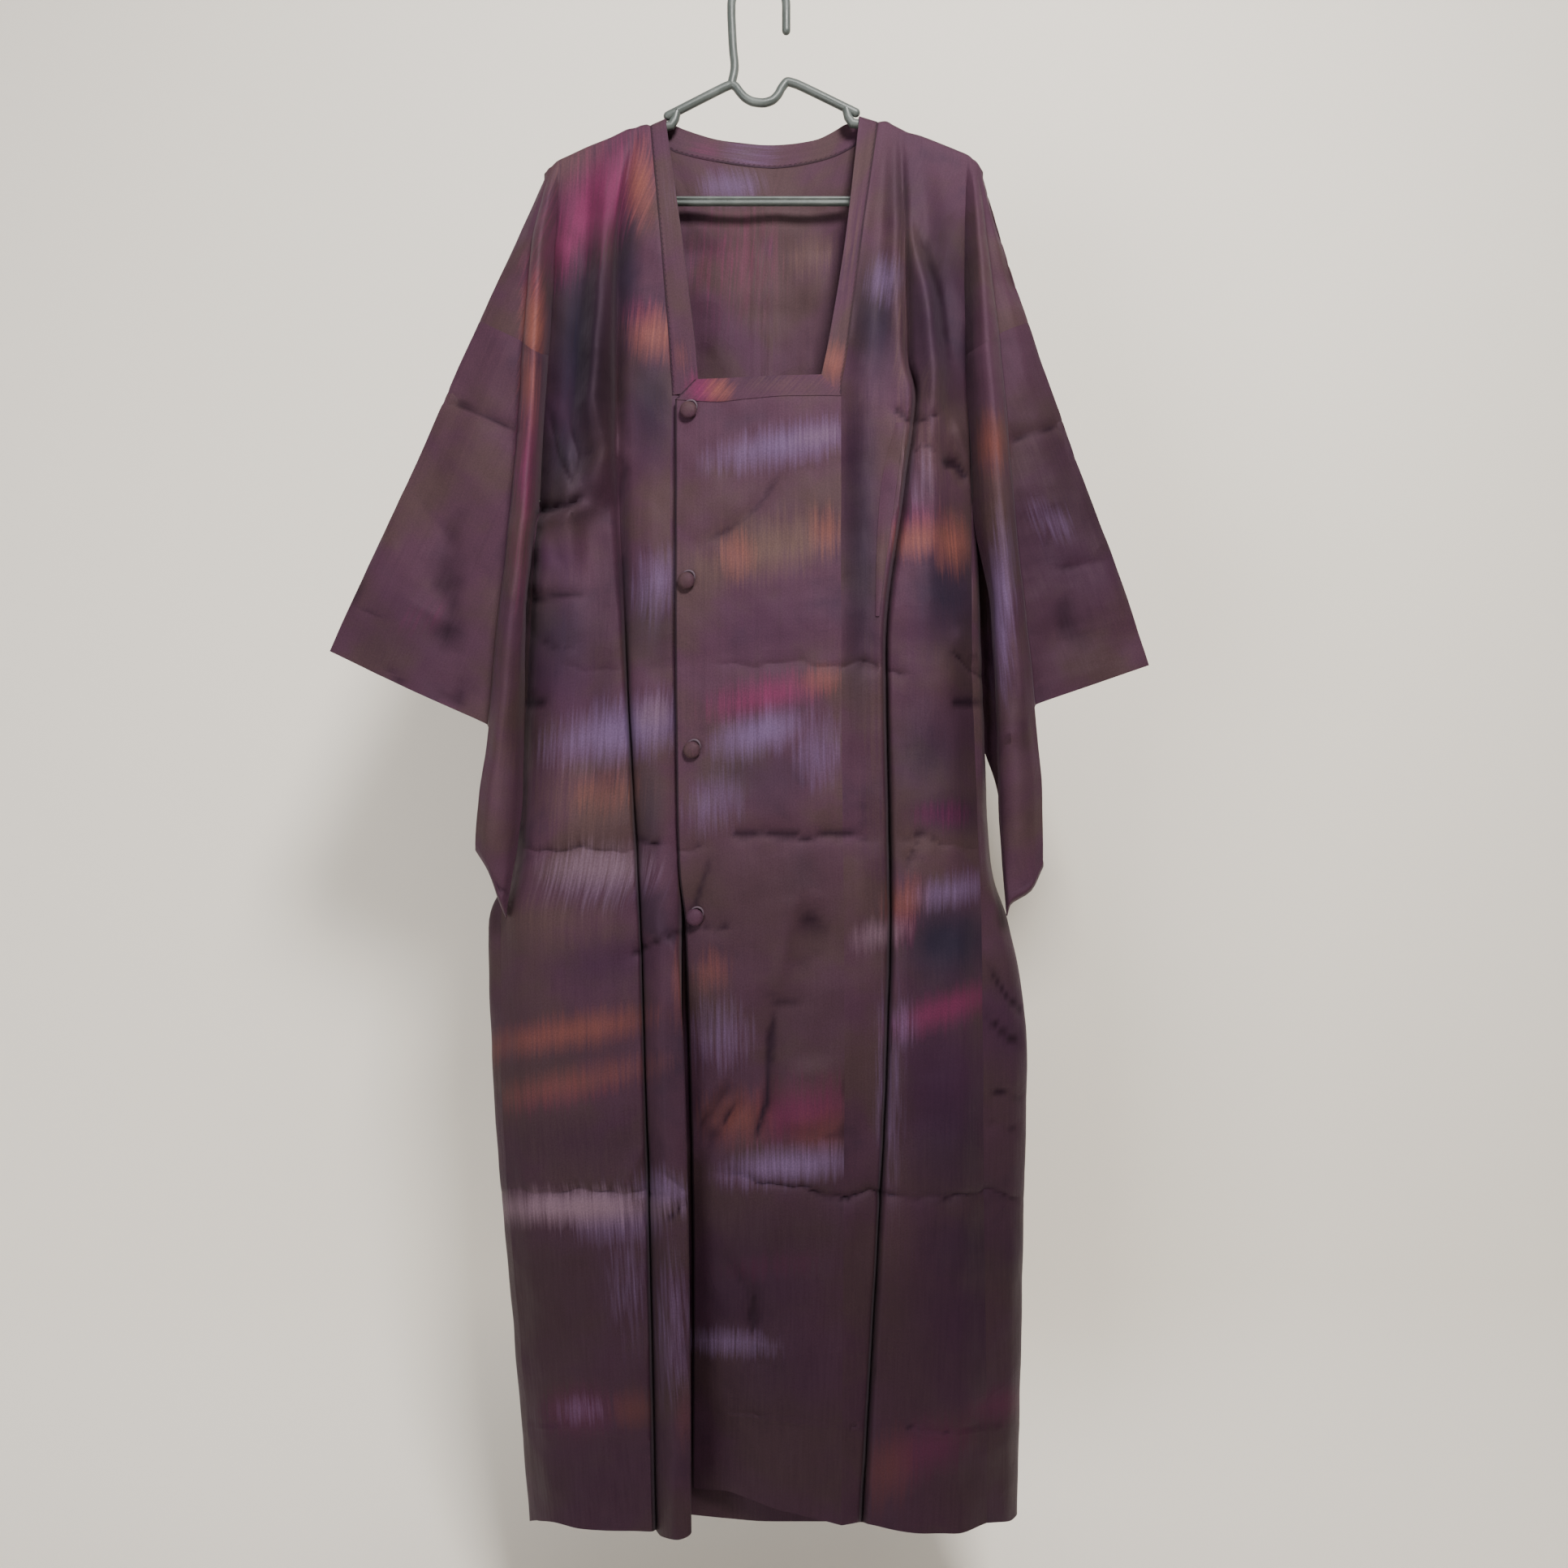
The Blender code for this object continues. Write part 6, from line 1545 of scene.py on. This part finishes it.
def rounded_rod(path, radius, steps, ends=(0, -1)):
    """A round rod, domed at the given ends."""
    run = softened(path, steps)
    radii = [radius] * len(run)
    for end in ends:
        last = np.array(run[end])
        way = last - np.array(run[-2 if end else 1])
        way = way / np.linalg.norm(way)
        for turn in DOME_RINGS:
            angle = math.radians(turn)
            at = len(run) if end else 0
            run.insert(at, tuple(last + way * radius * math.sin(angle)))
            radii.insert(at, radius * math.cos(angle))
    return tube(run, radii, radii)


def merge(parts):
    """Several (points, faces) as one."""
    points, faces = [], []
    for some, loops in parts:
        shift = len(points)
        points += [tuple(p) for p in some]
        faces += [[v + shift for v in loop] for loop in loops]
    return points, faces


class CoatLooks(bpy.types.PropertyGroup):
    """Sizes and finishes of the cloth, buttons, hanger and stage."""
    cloth_thick: bpy.props.FloatProperty(
        name="Cloth thickness", description="Thickness of each panel's shell", default=0.0013,
        min=0.0008, max=0.002, unit="LENGTH", precision=4)
    band_thick: bpy.props.FloatProperty(
        name="Band thickness", description="Thickness of the folded neckband", default=0.0024,
        min=0.0015, max=0.0035, unit="LENGTH", precision=4)
    feather: bpy.props.FloatProperty(
        name="Feathering", description="How far single threads carry a dye past its edge",
        default=1.5, min=0.0, max=3.0)
    sheen: bpy.props.FloatProperty(
        name="Sheen", description="Soft silk sheen at grazing light", default=0.04, min=0.0, max=1.0)
    roughness: bpy.props.FloatProperty(
        name="Roughness", description="Roughness of the silk", default=0.58, min=0.2, max=0.9)
    plastic: bpy.props.FloatVectorProperty(
        name="Hanger colour", description="Colour of the hanger's plastic", subtype="COLOR",
        size=3, default=(0.062, 0.072, 0.067), min=0.0, max=1.0)
    paper: bpy.props.FloatVectorProperty(
        name="Stage colour", description="Colour of the studio paper", subtype="COLOR",
        size=3, default=(0.88, 0.82, 0.73), min=0.0, max=1.0)
    light: bpy.props.FloatProperty(
        name="Light", description="Power of the studio light", default=1.0, min=0.1, max=5.0)


# Laid once by the materials' operator and used by the pieces' operators
SHARED = {}
# Each silk's material, how crumpled it is, whether it is stitched, and how dark the painted shadow
# along its first edge is
SILKS = {
    "silk": ("space-dyed silk", 0.55, False, 0.0),
    "overlap silk": ("overlap silk", 0.55, False, 0.9),
    "band silk": ("neckband silk", 0.30, True, 0.6),
}


class COAT_OT_materials(bpy.types.Operator):
    """Make the silk, plastic, thread and paper materials and lay the cloth's panels"""
    bl_idname = "coat.materials"
    bl_label = "Materials"

    def execute(self, context):
        looks = context.scene.coat_looks
        build_warp_group()
        build_feather_group()
        build_weave_group()
        build_colour_group()
        build_stitch_group()
        for silk, (name, *how) in SILKS.items():
            SHARED[silk] = silk_material(name, looks, *how)
        SHARED["plastic"] = plastic_material(looks)
        SHARED["thread"] = thread_material()
        SHARED["paper"] = stage_material(looks)
        SHARED["coat"] = coat_grids()
        return {"FINISHED"}


class Panels:
    """Makes the shells of its pieces."""
    pieces = ()
    silk = "silk"

    def execute(self, context):
        looks = context.scene.coat_looks
        for piece in self.pieces:
            thick = looks.band_thick if piece.startswith("neckband") else looks.cloth_thick
            made = SHARED["coat"].shell(piece, thick / MM, SHARED[self.silk])
            SHARED[piece] = made
        return {"FINISHED"}


class COAT_OT_bodies(Panels, bpy.types.Operator):
    """Both body panels, each front and back in one over the shoulder, and the side gores"""
    bl_idname = "coat.bodies"
    bl_label = "Bodies and gores"
    pieces = ("body_right", "body_left", "gore_right", "gore_left")


class COAT_OT_overlaps(Panels, bpy.types.Operator):
    """The buttoned overlap and the one beneath it"""
    bl_idname = "coat.overlaps"
    bl_label = "Overlaps"
    pieces = ("overlap_left", "overlap_right")
    silk = "overlap silk"


class COAT_OT_sleeves(Panels, bpy.types.Operator):
    """Both sleeves below the armhole seams"""
    bl_idname = "coat.sleeves"
    bl_label = "Sleeves"
    pieces = ("sleeve_right", "sleeve_left")


class COAT_OT_neckband(Panels, bpy.types.Operator):
    """The square neckband, its long strip and the strip across the front"""
    bl_idname = "coat.neckband"
    bl_label = "Neckband"
    pieces = ("neckband", "neckband_front")
    silk = "band silk"


class COAT_OT_pocket(bpy.types.Operator):
    """The band beside the pocket mouth, laid on the wearer's left front"""
    bl_idname = "coat.pocket"
    bl_label = "Pocket band"

    def execute(self, context):
        tree = tree_of(SHARED["body_left"])
        knots = range(len(POCKET))
        at = stations((POCKET_ROWS,) * (len(POCKET) - 1))
        rows = [glide(knots, [row[k] for row in POCKET], at) for k in range(3)]
        outer, inner, lengths, spots = [], [], [], []
        for height, left, right in zip(*rows):
            for k in range(POCKET_COLUMNS):
                share = k / (POCKET_COLUMNS - 1)
                across = left + (right - left) * share
                place, normal = front_face(tree, across, height)
                inner.append(place + normal * ON_PANEL)
                crown = POCKET_CROWN[0] + POCKET_CROWN[1] * math.sin(math.pi * share)
                outer.append(place + normal * (ON_PANEL + POCKET_WALL * crown))
                lengths.append(((across - left) * MM, -height * MM))
                spots.append((across, height))
        count = len(outer)
        faces, corners = [], []

        def face(loop):
            faces.append(loop)
            corners.append([lengths[v % count] for v in loop])

        grid = np.arange(count).reshape(-1, POCKET_COLUMNS)
        for a, b, c, d in quads_of(grid).reshape(-1, 4).tolist():
            face([a, d, c, b])
            face([v + count for v in (b, c, d, a)])
        rim = list(grid[0]) + list(grid[1:, -1]) + list(grid[-1, -2::-1]) + list(grid[-2:0:-1, 0])
        for a, b in zip(rim, rim[1:] + rim[:1]):
            face([int(a), int(b), int(b) + count, int(a) + count])
        made = new_mesh("coat_pocket_band", outer + inner, faces, SHARED["silk"])
        lay_lengths(made, corners)
        spots = np.array(spots)
        worth = POCKET_DYED * brush(LEFT_DYES, (spots[:, 0] - PICTURE_LEFT) / PICTURE_STEP,
                                    (PICTURE_TOP - spots[:, 1]) / PICTURE_STEP)
        lay_dyes(made, np.concatenate([worth, worth]))
        stand_for(made, "pocket_band")
        width, length, share = POCKET_CUT
        return {"FINISHED"}


# Covered buttons: across and height, then one's width, and the half width of its seat on the cloth
BUTTONS = ((-64, -391), (-66, -546), (-61, -700), (-58, -852))
BUTTON_WIDTH = 15.0
BUTTON_SEAT = 4.0
BUTTON_SIDES = 48
# A button's outline from its shank to its crown: share of its half width, mm off the cloth
BUTTON_OUTLINE = ((0.30, 0.0), (0.34, 0.9), (0.62, 1.2), (0.86, 1.6), (0.96, 2.2), (1.0, 3.0),
                  (0.985, 3.7), (0.93, 4.5), (0.84, 5.2), (0.70, 5.85), (0.52, 6.4), (0.32, 6.8),
                  (0.12, 7.0))
# Its cloth's gathers: how many, how far off the coat they reach, mm, and their depth; then fewer
# and shallower ones between
GATHERS, GATHER_REACH, GATHER_DEPTH = 13, 3.4, 0.035
FEW_GATHERS, FEW_SHARE = 7, 0.5
# How far the cloth's lengths lean on a button
BUTTON_LEAN = 0.5
# The loop: turns from the button's right, half turns; distance from its middle, in half widths;
# mm off the seat; and half sizes, mm
LOOP_TURNS = (0.06, 0.55)
LOOP_RUN = (0.94, 0.30)
LOOP_OFF = (1.2, 0.5)
LOOP_WIDE, LOOP_DEEP = 1.0, 0.8
LOOP_STEPS, LOOP_SIDES = 15, 12


class COAT_OT_buttons(bpy.types.Operator):
    """Covered buttons with their cloth gathered behind, and the small loop beside each"""
    bl_idname = "coat.buttons"
    bl_label = "Buttons"

    def execute(self, context):
        tree = tree_of(SHARED["overlap_left"])
        half = BUTTON_WIDTH / 2
        for number, (across, height) in enumerate(BUTTONS, start=1):
            seat = min(front_face(tree, across + x, height + z)[0].y
                       for x in (-BUTTON_SEAT, 0, BUTTON_SEAT)
                       for z in (-BUTTON_SEAT, 0, BUTTON_SEAT)) - ON_PANEL
            centre, _ = front_face(tree, across, height)
            node = "button_" + str(number)
            points = []
            for share, out in BUTTON_OUTLINE:
                deep = GATHER_DEPTH * max(0.0, 1 - out / GATHER_REACH)
                for k in range(BUTTON_SIDES):
                    turn = 2 * math.pi * k / BUTTON_SIDES
                    pleat = (math.sin(GATHERS * turn + number)
                             + FEW_SHARE * math.sin(FEW_GATHERS * turn + 2 * number))
                    radius = share * half * (1 + deep * pleat)
                    points.append((centre.x + radius * math.cos(turn), seat - out,
                                   centre.z + radius * math.sin(turn)))
            faces = ring_faces(len(BUTTON_OUTLINE), BUTTON_SIDES)
            made = new_mesh("coat_" + node, points, faces, SHARED["silk"])
            lay_lengths(made, [[((points[v][0] - points[v][1] * BUTTON_LEAN) * MM,
                                 points[v][2] * MM) for v in loop] for loop in faces])
            lay_dyes(made, np.zeros((len(points), DYE_COUNT)))
            stand_for(made, node)
            loop = self.loop(number, centre, seat, half)
            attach(loop, "root")
        return {"FINISHED"}

    def loop(self, number, centre, seat, half):
        """A small flat loop that comes from under the button at its upper right."""
        points = []
        for i in range(LOOP_STEPS):
            t = i / (LOOP_STEPS - 1)
            arch = math.sin(math.pi * t)
            turn = math.pi * (LOOP_TURNS[0] + LOOP_TURNS[1] * t)
            run = half * (LOOP_RUN[0] + LOOP_RUN[1] * arch)
            for k in range(LOOP_SIDES):
                around = 2 * math.pi * k / LOOP_SIDES
                out = run + LOOP_WIDE * math.cos(around)
                points.append((centre.x + out * math.cos(turn),
                               seat - LOOP_OFF[0] - LOOP_OFF[1] * arch
                               + LOOP_DEEP * math.sin(around),
                               centre.z + out * math.sin(turn)))
        return new_mesh("coat_button_loop_" + str(number), points,
                        ring_faces(LOOP_STEPS, LOOP_SIDES), SHARED["thread"])


class COAT_OT_hanger(bpy.types.Operator):
    """The moulded plastic hanger: hook, dipped crown, shoulders and grooved bar"""
    bl_idname = "coat.hanger"
    bl_label = "Hanger"

    def execute(self, context):
        arch = [(HOOK_RADIUS, HOOK_DROP)]
        for step in range(ARCH_STEPS + 1):
            turn = math.pi * step / ARCH_STEPS
            arch.append((HOOK_RADIUS * math.cos(turn), HOOK_THICK - HOOK_RADIUS
                         + HOOK_RADIUS * math.sin(turn)))
        foot = CROWN[CROWN_PEAK]
        hook = arch + softened(list(HOOK_STEM) + [foot], STEM_STEPS)
        solids = {"hanger_hook": [rounded_rod(hook, HOOK_THICK, len(hook), (0,))]}
        frame_rods = [rounded_rod(CROWN, ARM_RADIUS, CROWN_STEPS)]
        ends = []
        for strut, folds, edge, hand in (
                (RIGHT_STRUT, RIGHT_FRONT[-2::-1], RIGHT_BAND_EDGE[0], -1),
                (LEFT_STRUT, LEFT_FRONT, LEFT_BAND_EDGE[0], 1)):
            under = [(edge[0], edge[1] - WRAP_RADIUS)]
            last = folds[-1].across[0] - hand * END_SETBACK, folds[-1].top - END_LOWER
            under += [(fold.across[0], fold.top - WRAP_RADIUS) for fold in folds
                      if abs(fold.across[0]) < abs(last[0]) - END_SETBACK / 2]
            drop = last[1] - BAR_HEIGHT
            turned = [(last[0] + hand * out, last[1] - share * drop) for out, share in END_TURN]
            frame_rods.append(tube(list(strut) + under + softened(turned, TURN_STEPS),
                                   ARM_RADIUS, ARM_RADIUS))
            ends.append(turned[-1][0])
        solids["hanger_frame"] = frame_rods
        run = [(ends[0] + (ends[1] - ends[0]) * k / BAR_STEPS, BAR_HEIGHT)
               for k in range(BAR_STEPS + 1)]
        rib = BAR_TALL * BAR_RIB
        solids["hanger_bar"] = [
            tube([(x, z + rib) for x, z in run], BAR_DEEP, rib),
            tube([(x, z - rib) for x, z in run], BAR_DEEP, rib),
            tube(run, BAR_DEEP * BAR_WEB[0], BAR_TALL * BAR_WEB[1])]
        for node, rods in solids.items():
            points, faces = merge(rods)
            stand_for(new_mesh("coat_" + node, points, faces, SHARED["plastic"]), node)
        return {"FINISHED"}


# The paper sweep, m: half width, front edge, floor, wall, the bend between them, and the heights of
# the wall's middle and top; then the turn at which the bend's rows start, and their number
SWEEP_HALF, SWEEP_FRONT, SWEEP_FLOOR = 3.2, -2.4, -1.56
SWEEP_WALL, SWEEP_BEND, SWEEP_HEIGHTS = 0.34, 0.24, (0.4, 1.6)
BEND_STARTS, BEND_STEPS = 0.1, 14
# Area lights: name, place and what each points at, m, width and height, power in W, and colour
LIGHTS = (
    ("key", (0.42, -1.42, 0.55), (0.0, 0.0, -0.7), (0.45, 0.45), 60, (1.0, 0.985, 0.955)),
    ("top", (0.15, -1.0, 1.45), (0.0, 0.1, -0.6), (1.4, 0.6), 10, (1.0, 0.97, 0.93)),
    ("fill", (-1.5, -2.2, -1.0), (0.0, 0.3, -1.4), (1.2, 1.2), 37, (0.95, 0.97, 1.0)),
)
ROOM_COLOUR, ROOM_LIGHT = (0.90, 0.93, 1.0, 1.0), 0.15
CAMERA_LENS, CAMERA_SENSOR = 28.0, 36.0
CAMERA_NEAR, CAMERA_FAR = 0.05, 30.0


def area_light(name, place, target, size, power, colour):
    """A rectangular light pointed at a place."""
    data = bpy.data.lights.new(name, "AREA")
    data.shape = "RECTANGLE"
    data.size, data.size_y = size
    data.energy = power
    data.color = colour
    made = bpy.data.objects.new(name, data)
    made.location = place
    made.rotation_euler = (Vector(target) - Vector(place)).to_track_quat("-Z", "Y").to_euler()
    bpy.context.scene.collection.objects.link(made)


class COAT_OT_stage(bpy.types.Operator):
    """Pale paper sweep, soft light and the camera at the picture's viewing angle"""
    bl_idname = "coat.stage"
    bl_label = "Stage"

    def execute(self, context):
        looks = context.scene.coat_looks
        start, level = SWEEP_WALL - SWEEP_BEND, SWEEP_FLOOR + SWEEP_BEND
        profile = [(SWEEP_FRONT, SWEEP_FLOOR), (start, SWEEP_FLOOR)]
        profile += [(start + SWEEP_BEND * math.sin(t), level - SWEEP_BEND * math.cos(t))
                    for t in np.linspace(BEND_STARTS, math.pi / 2, BEND_STEPS)]
        profile += [(SWEEP_WALL, height) for height in SWEEP_HEIGHTS]
        points = [(x / MM, y / MM, z / MM) for y, z in profile for x in (-SWEEP_HALF, SWEEP_HALF)]
        faces = [[2 * k, 2 * k + 1, 2 * k + 3, 2 * k + 2] for k in range(len(profile) - 1)]
        paper = new_mesh("stage_paper", points, faces, SHARED["paper"])
        for name, place, target, size, power, colour in LIGHTS:
            area_light(name, place, target, size, power * looks.light, colour)
        world = bpy.data.worlds.new("studio")
        world.use_nodes = True
        background = world.node_tree.nodes["Background"]
        background.inputs[0].default_value = ROOM_COLOUR
        background.inputs[1].default_value = ROOM_LIGHT * looks.light
        context.scene.world = world
        data = bpy.data.cameras.new("camera")
        data.lens = CAMERA_LENS
        data.sensor_width = CAMERA_SENSOR
        data.clip_start, data.clip_end = CAMERA_NEAR, CAMERA_FAR
        camera = bpy.data.objects.new("camera", data)
        camera.location = (EYE_X * MM, EYE_Y * MM, EYE_Z * MM)
        camera.rotation_euler = (math.pi / 2, 0.0, 0.0)
        context.scene.collection.objects.link(camera)
        context.scene.camera = camera
        return {"FINISHED"}


OPERATORS = (COAT_OT_materials, COAT_OT_bodies, COAT_OT_overlaps, COAT_OT_sleeves,
             COAT_OT_neckband, COAT_OT_pocket, COAT_OT_buttons, COAT_OT_hanger, COAT_OT_stage)


class COAT_PT_panel(bpy.types.Panel):
    """Lists the coat's settings and the steps that build it"""
    bl_label = "Michiyuki coat"
    bl_idname = "COAT_PT_panel"
    bl_space_type = "VIEW_3D"
    bl_region_type = "UI"
    bl_category = "Coat"

    def draw(self, context):
        looks = context.scene.coat_looks
        for name in looks.__annotations__:
            self.layout.prop(looks, name)
        for operator in OPERATORS:
            self.layout.operator(operator.bl_idname)


def register():
    for kind in (CoatLooks, *OPERATORS, COAT_PT_panel):
        bpy.utils.register_class(kind)
    bpy.types.Scene.coat_looks = bpy.props.PointerProperty(type=CoatLooks)


def unregister():
    del bpy.types.Scene.coat_looks
    for kind in (COAT_PT_panel, *reversed(OPERATORS), CoatLooks):
        bpy.utils.unregister_class(kind)


def main():
    register()
    bpy.ops.coat.materials()
    bpy.ops.coat.bodies()
    bpy.ops.coat.overlaps()
    bpy.ops.coat.sleeves()
    bpy.ops.coat.neckband()
    bpy.ops.coat.pocket()
    bpy.ops.coat.buttons()
    bpy.ops.coat.hanger()
    bpy.ops.coat.stage()


if __name__ == "__main__":
    main()
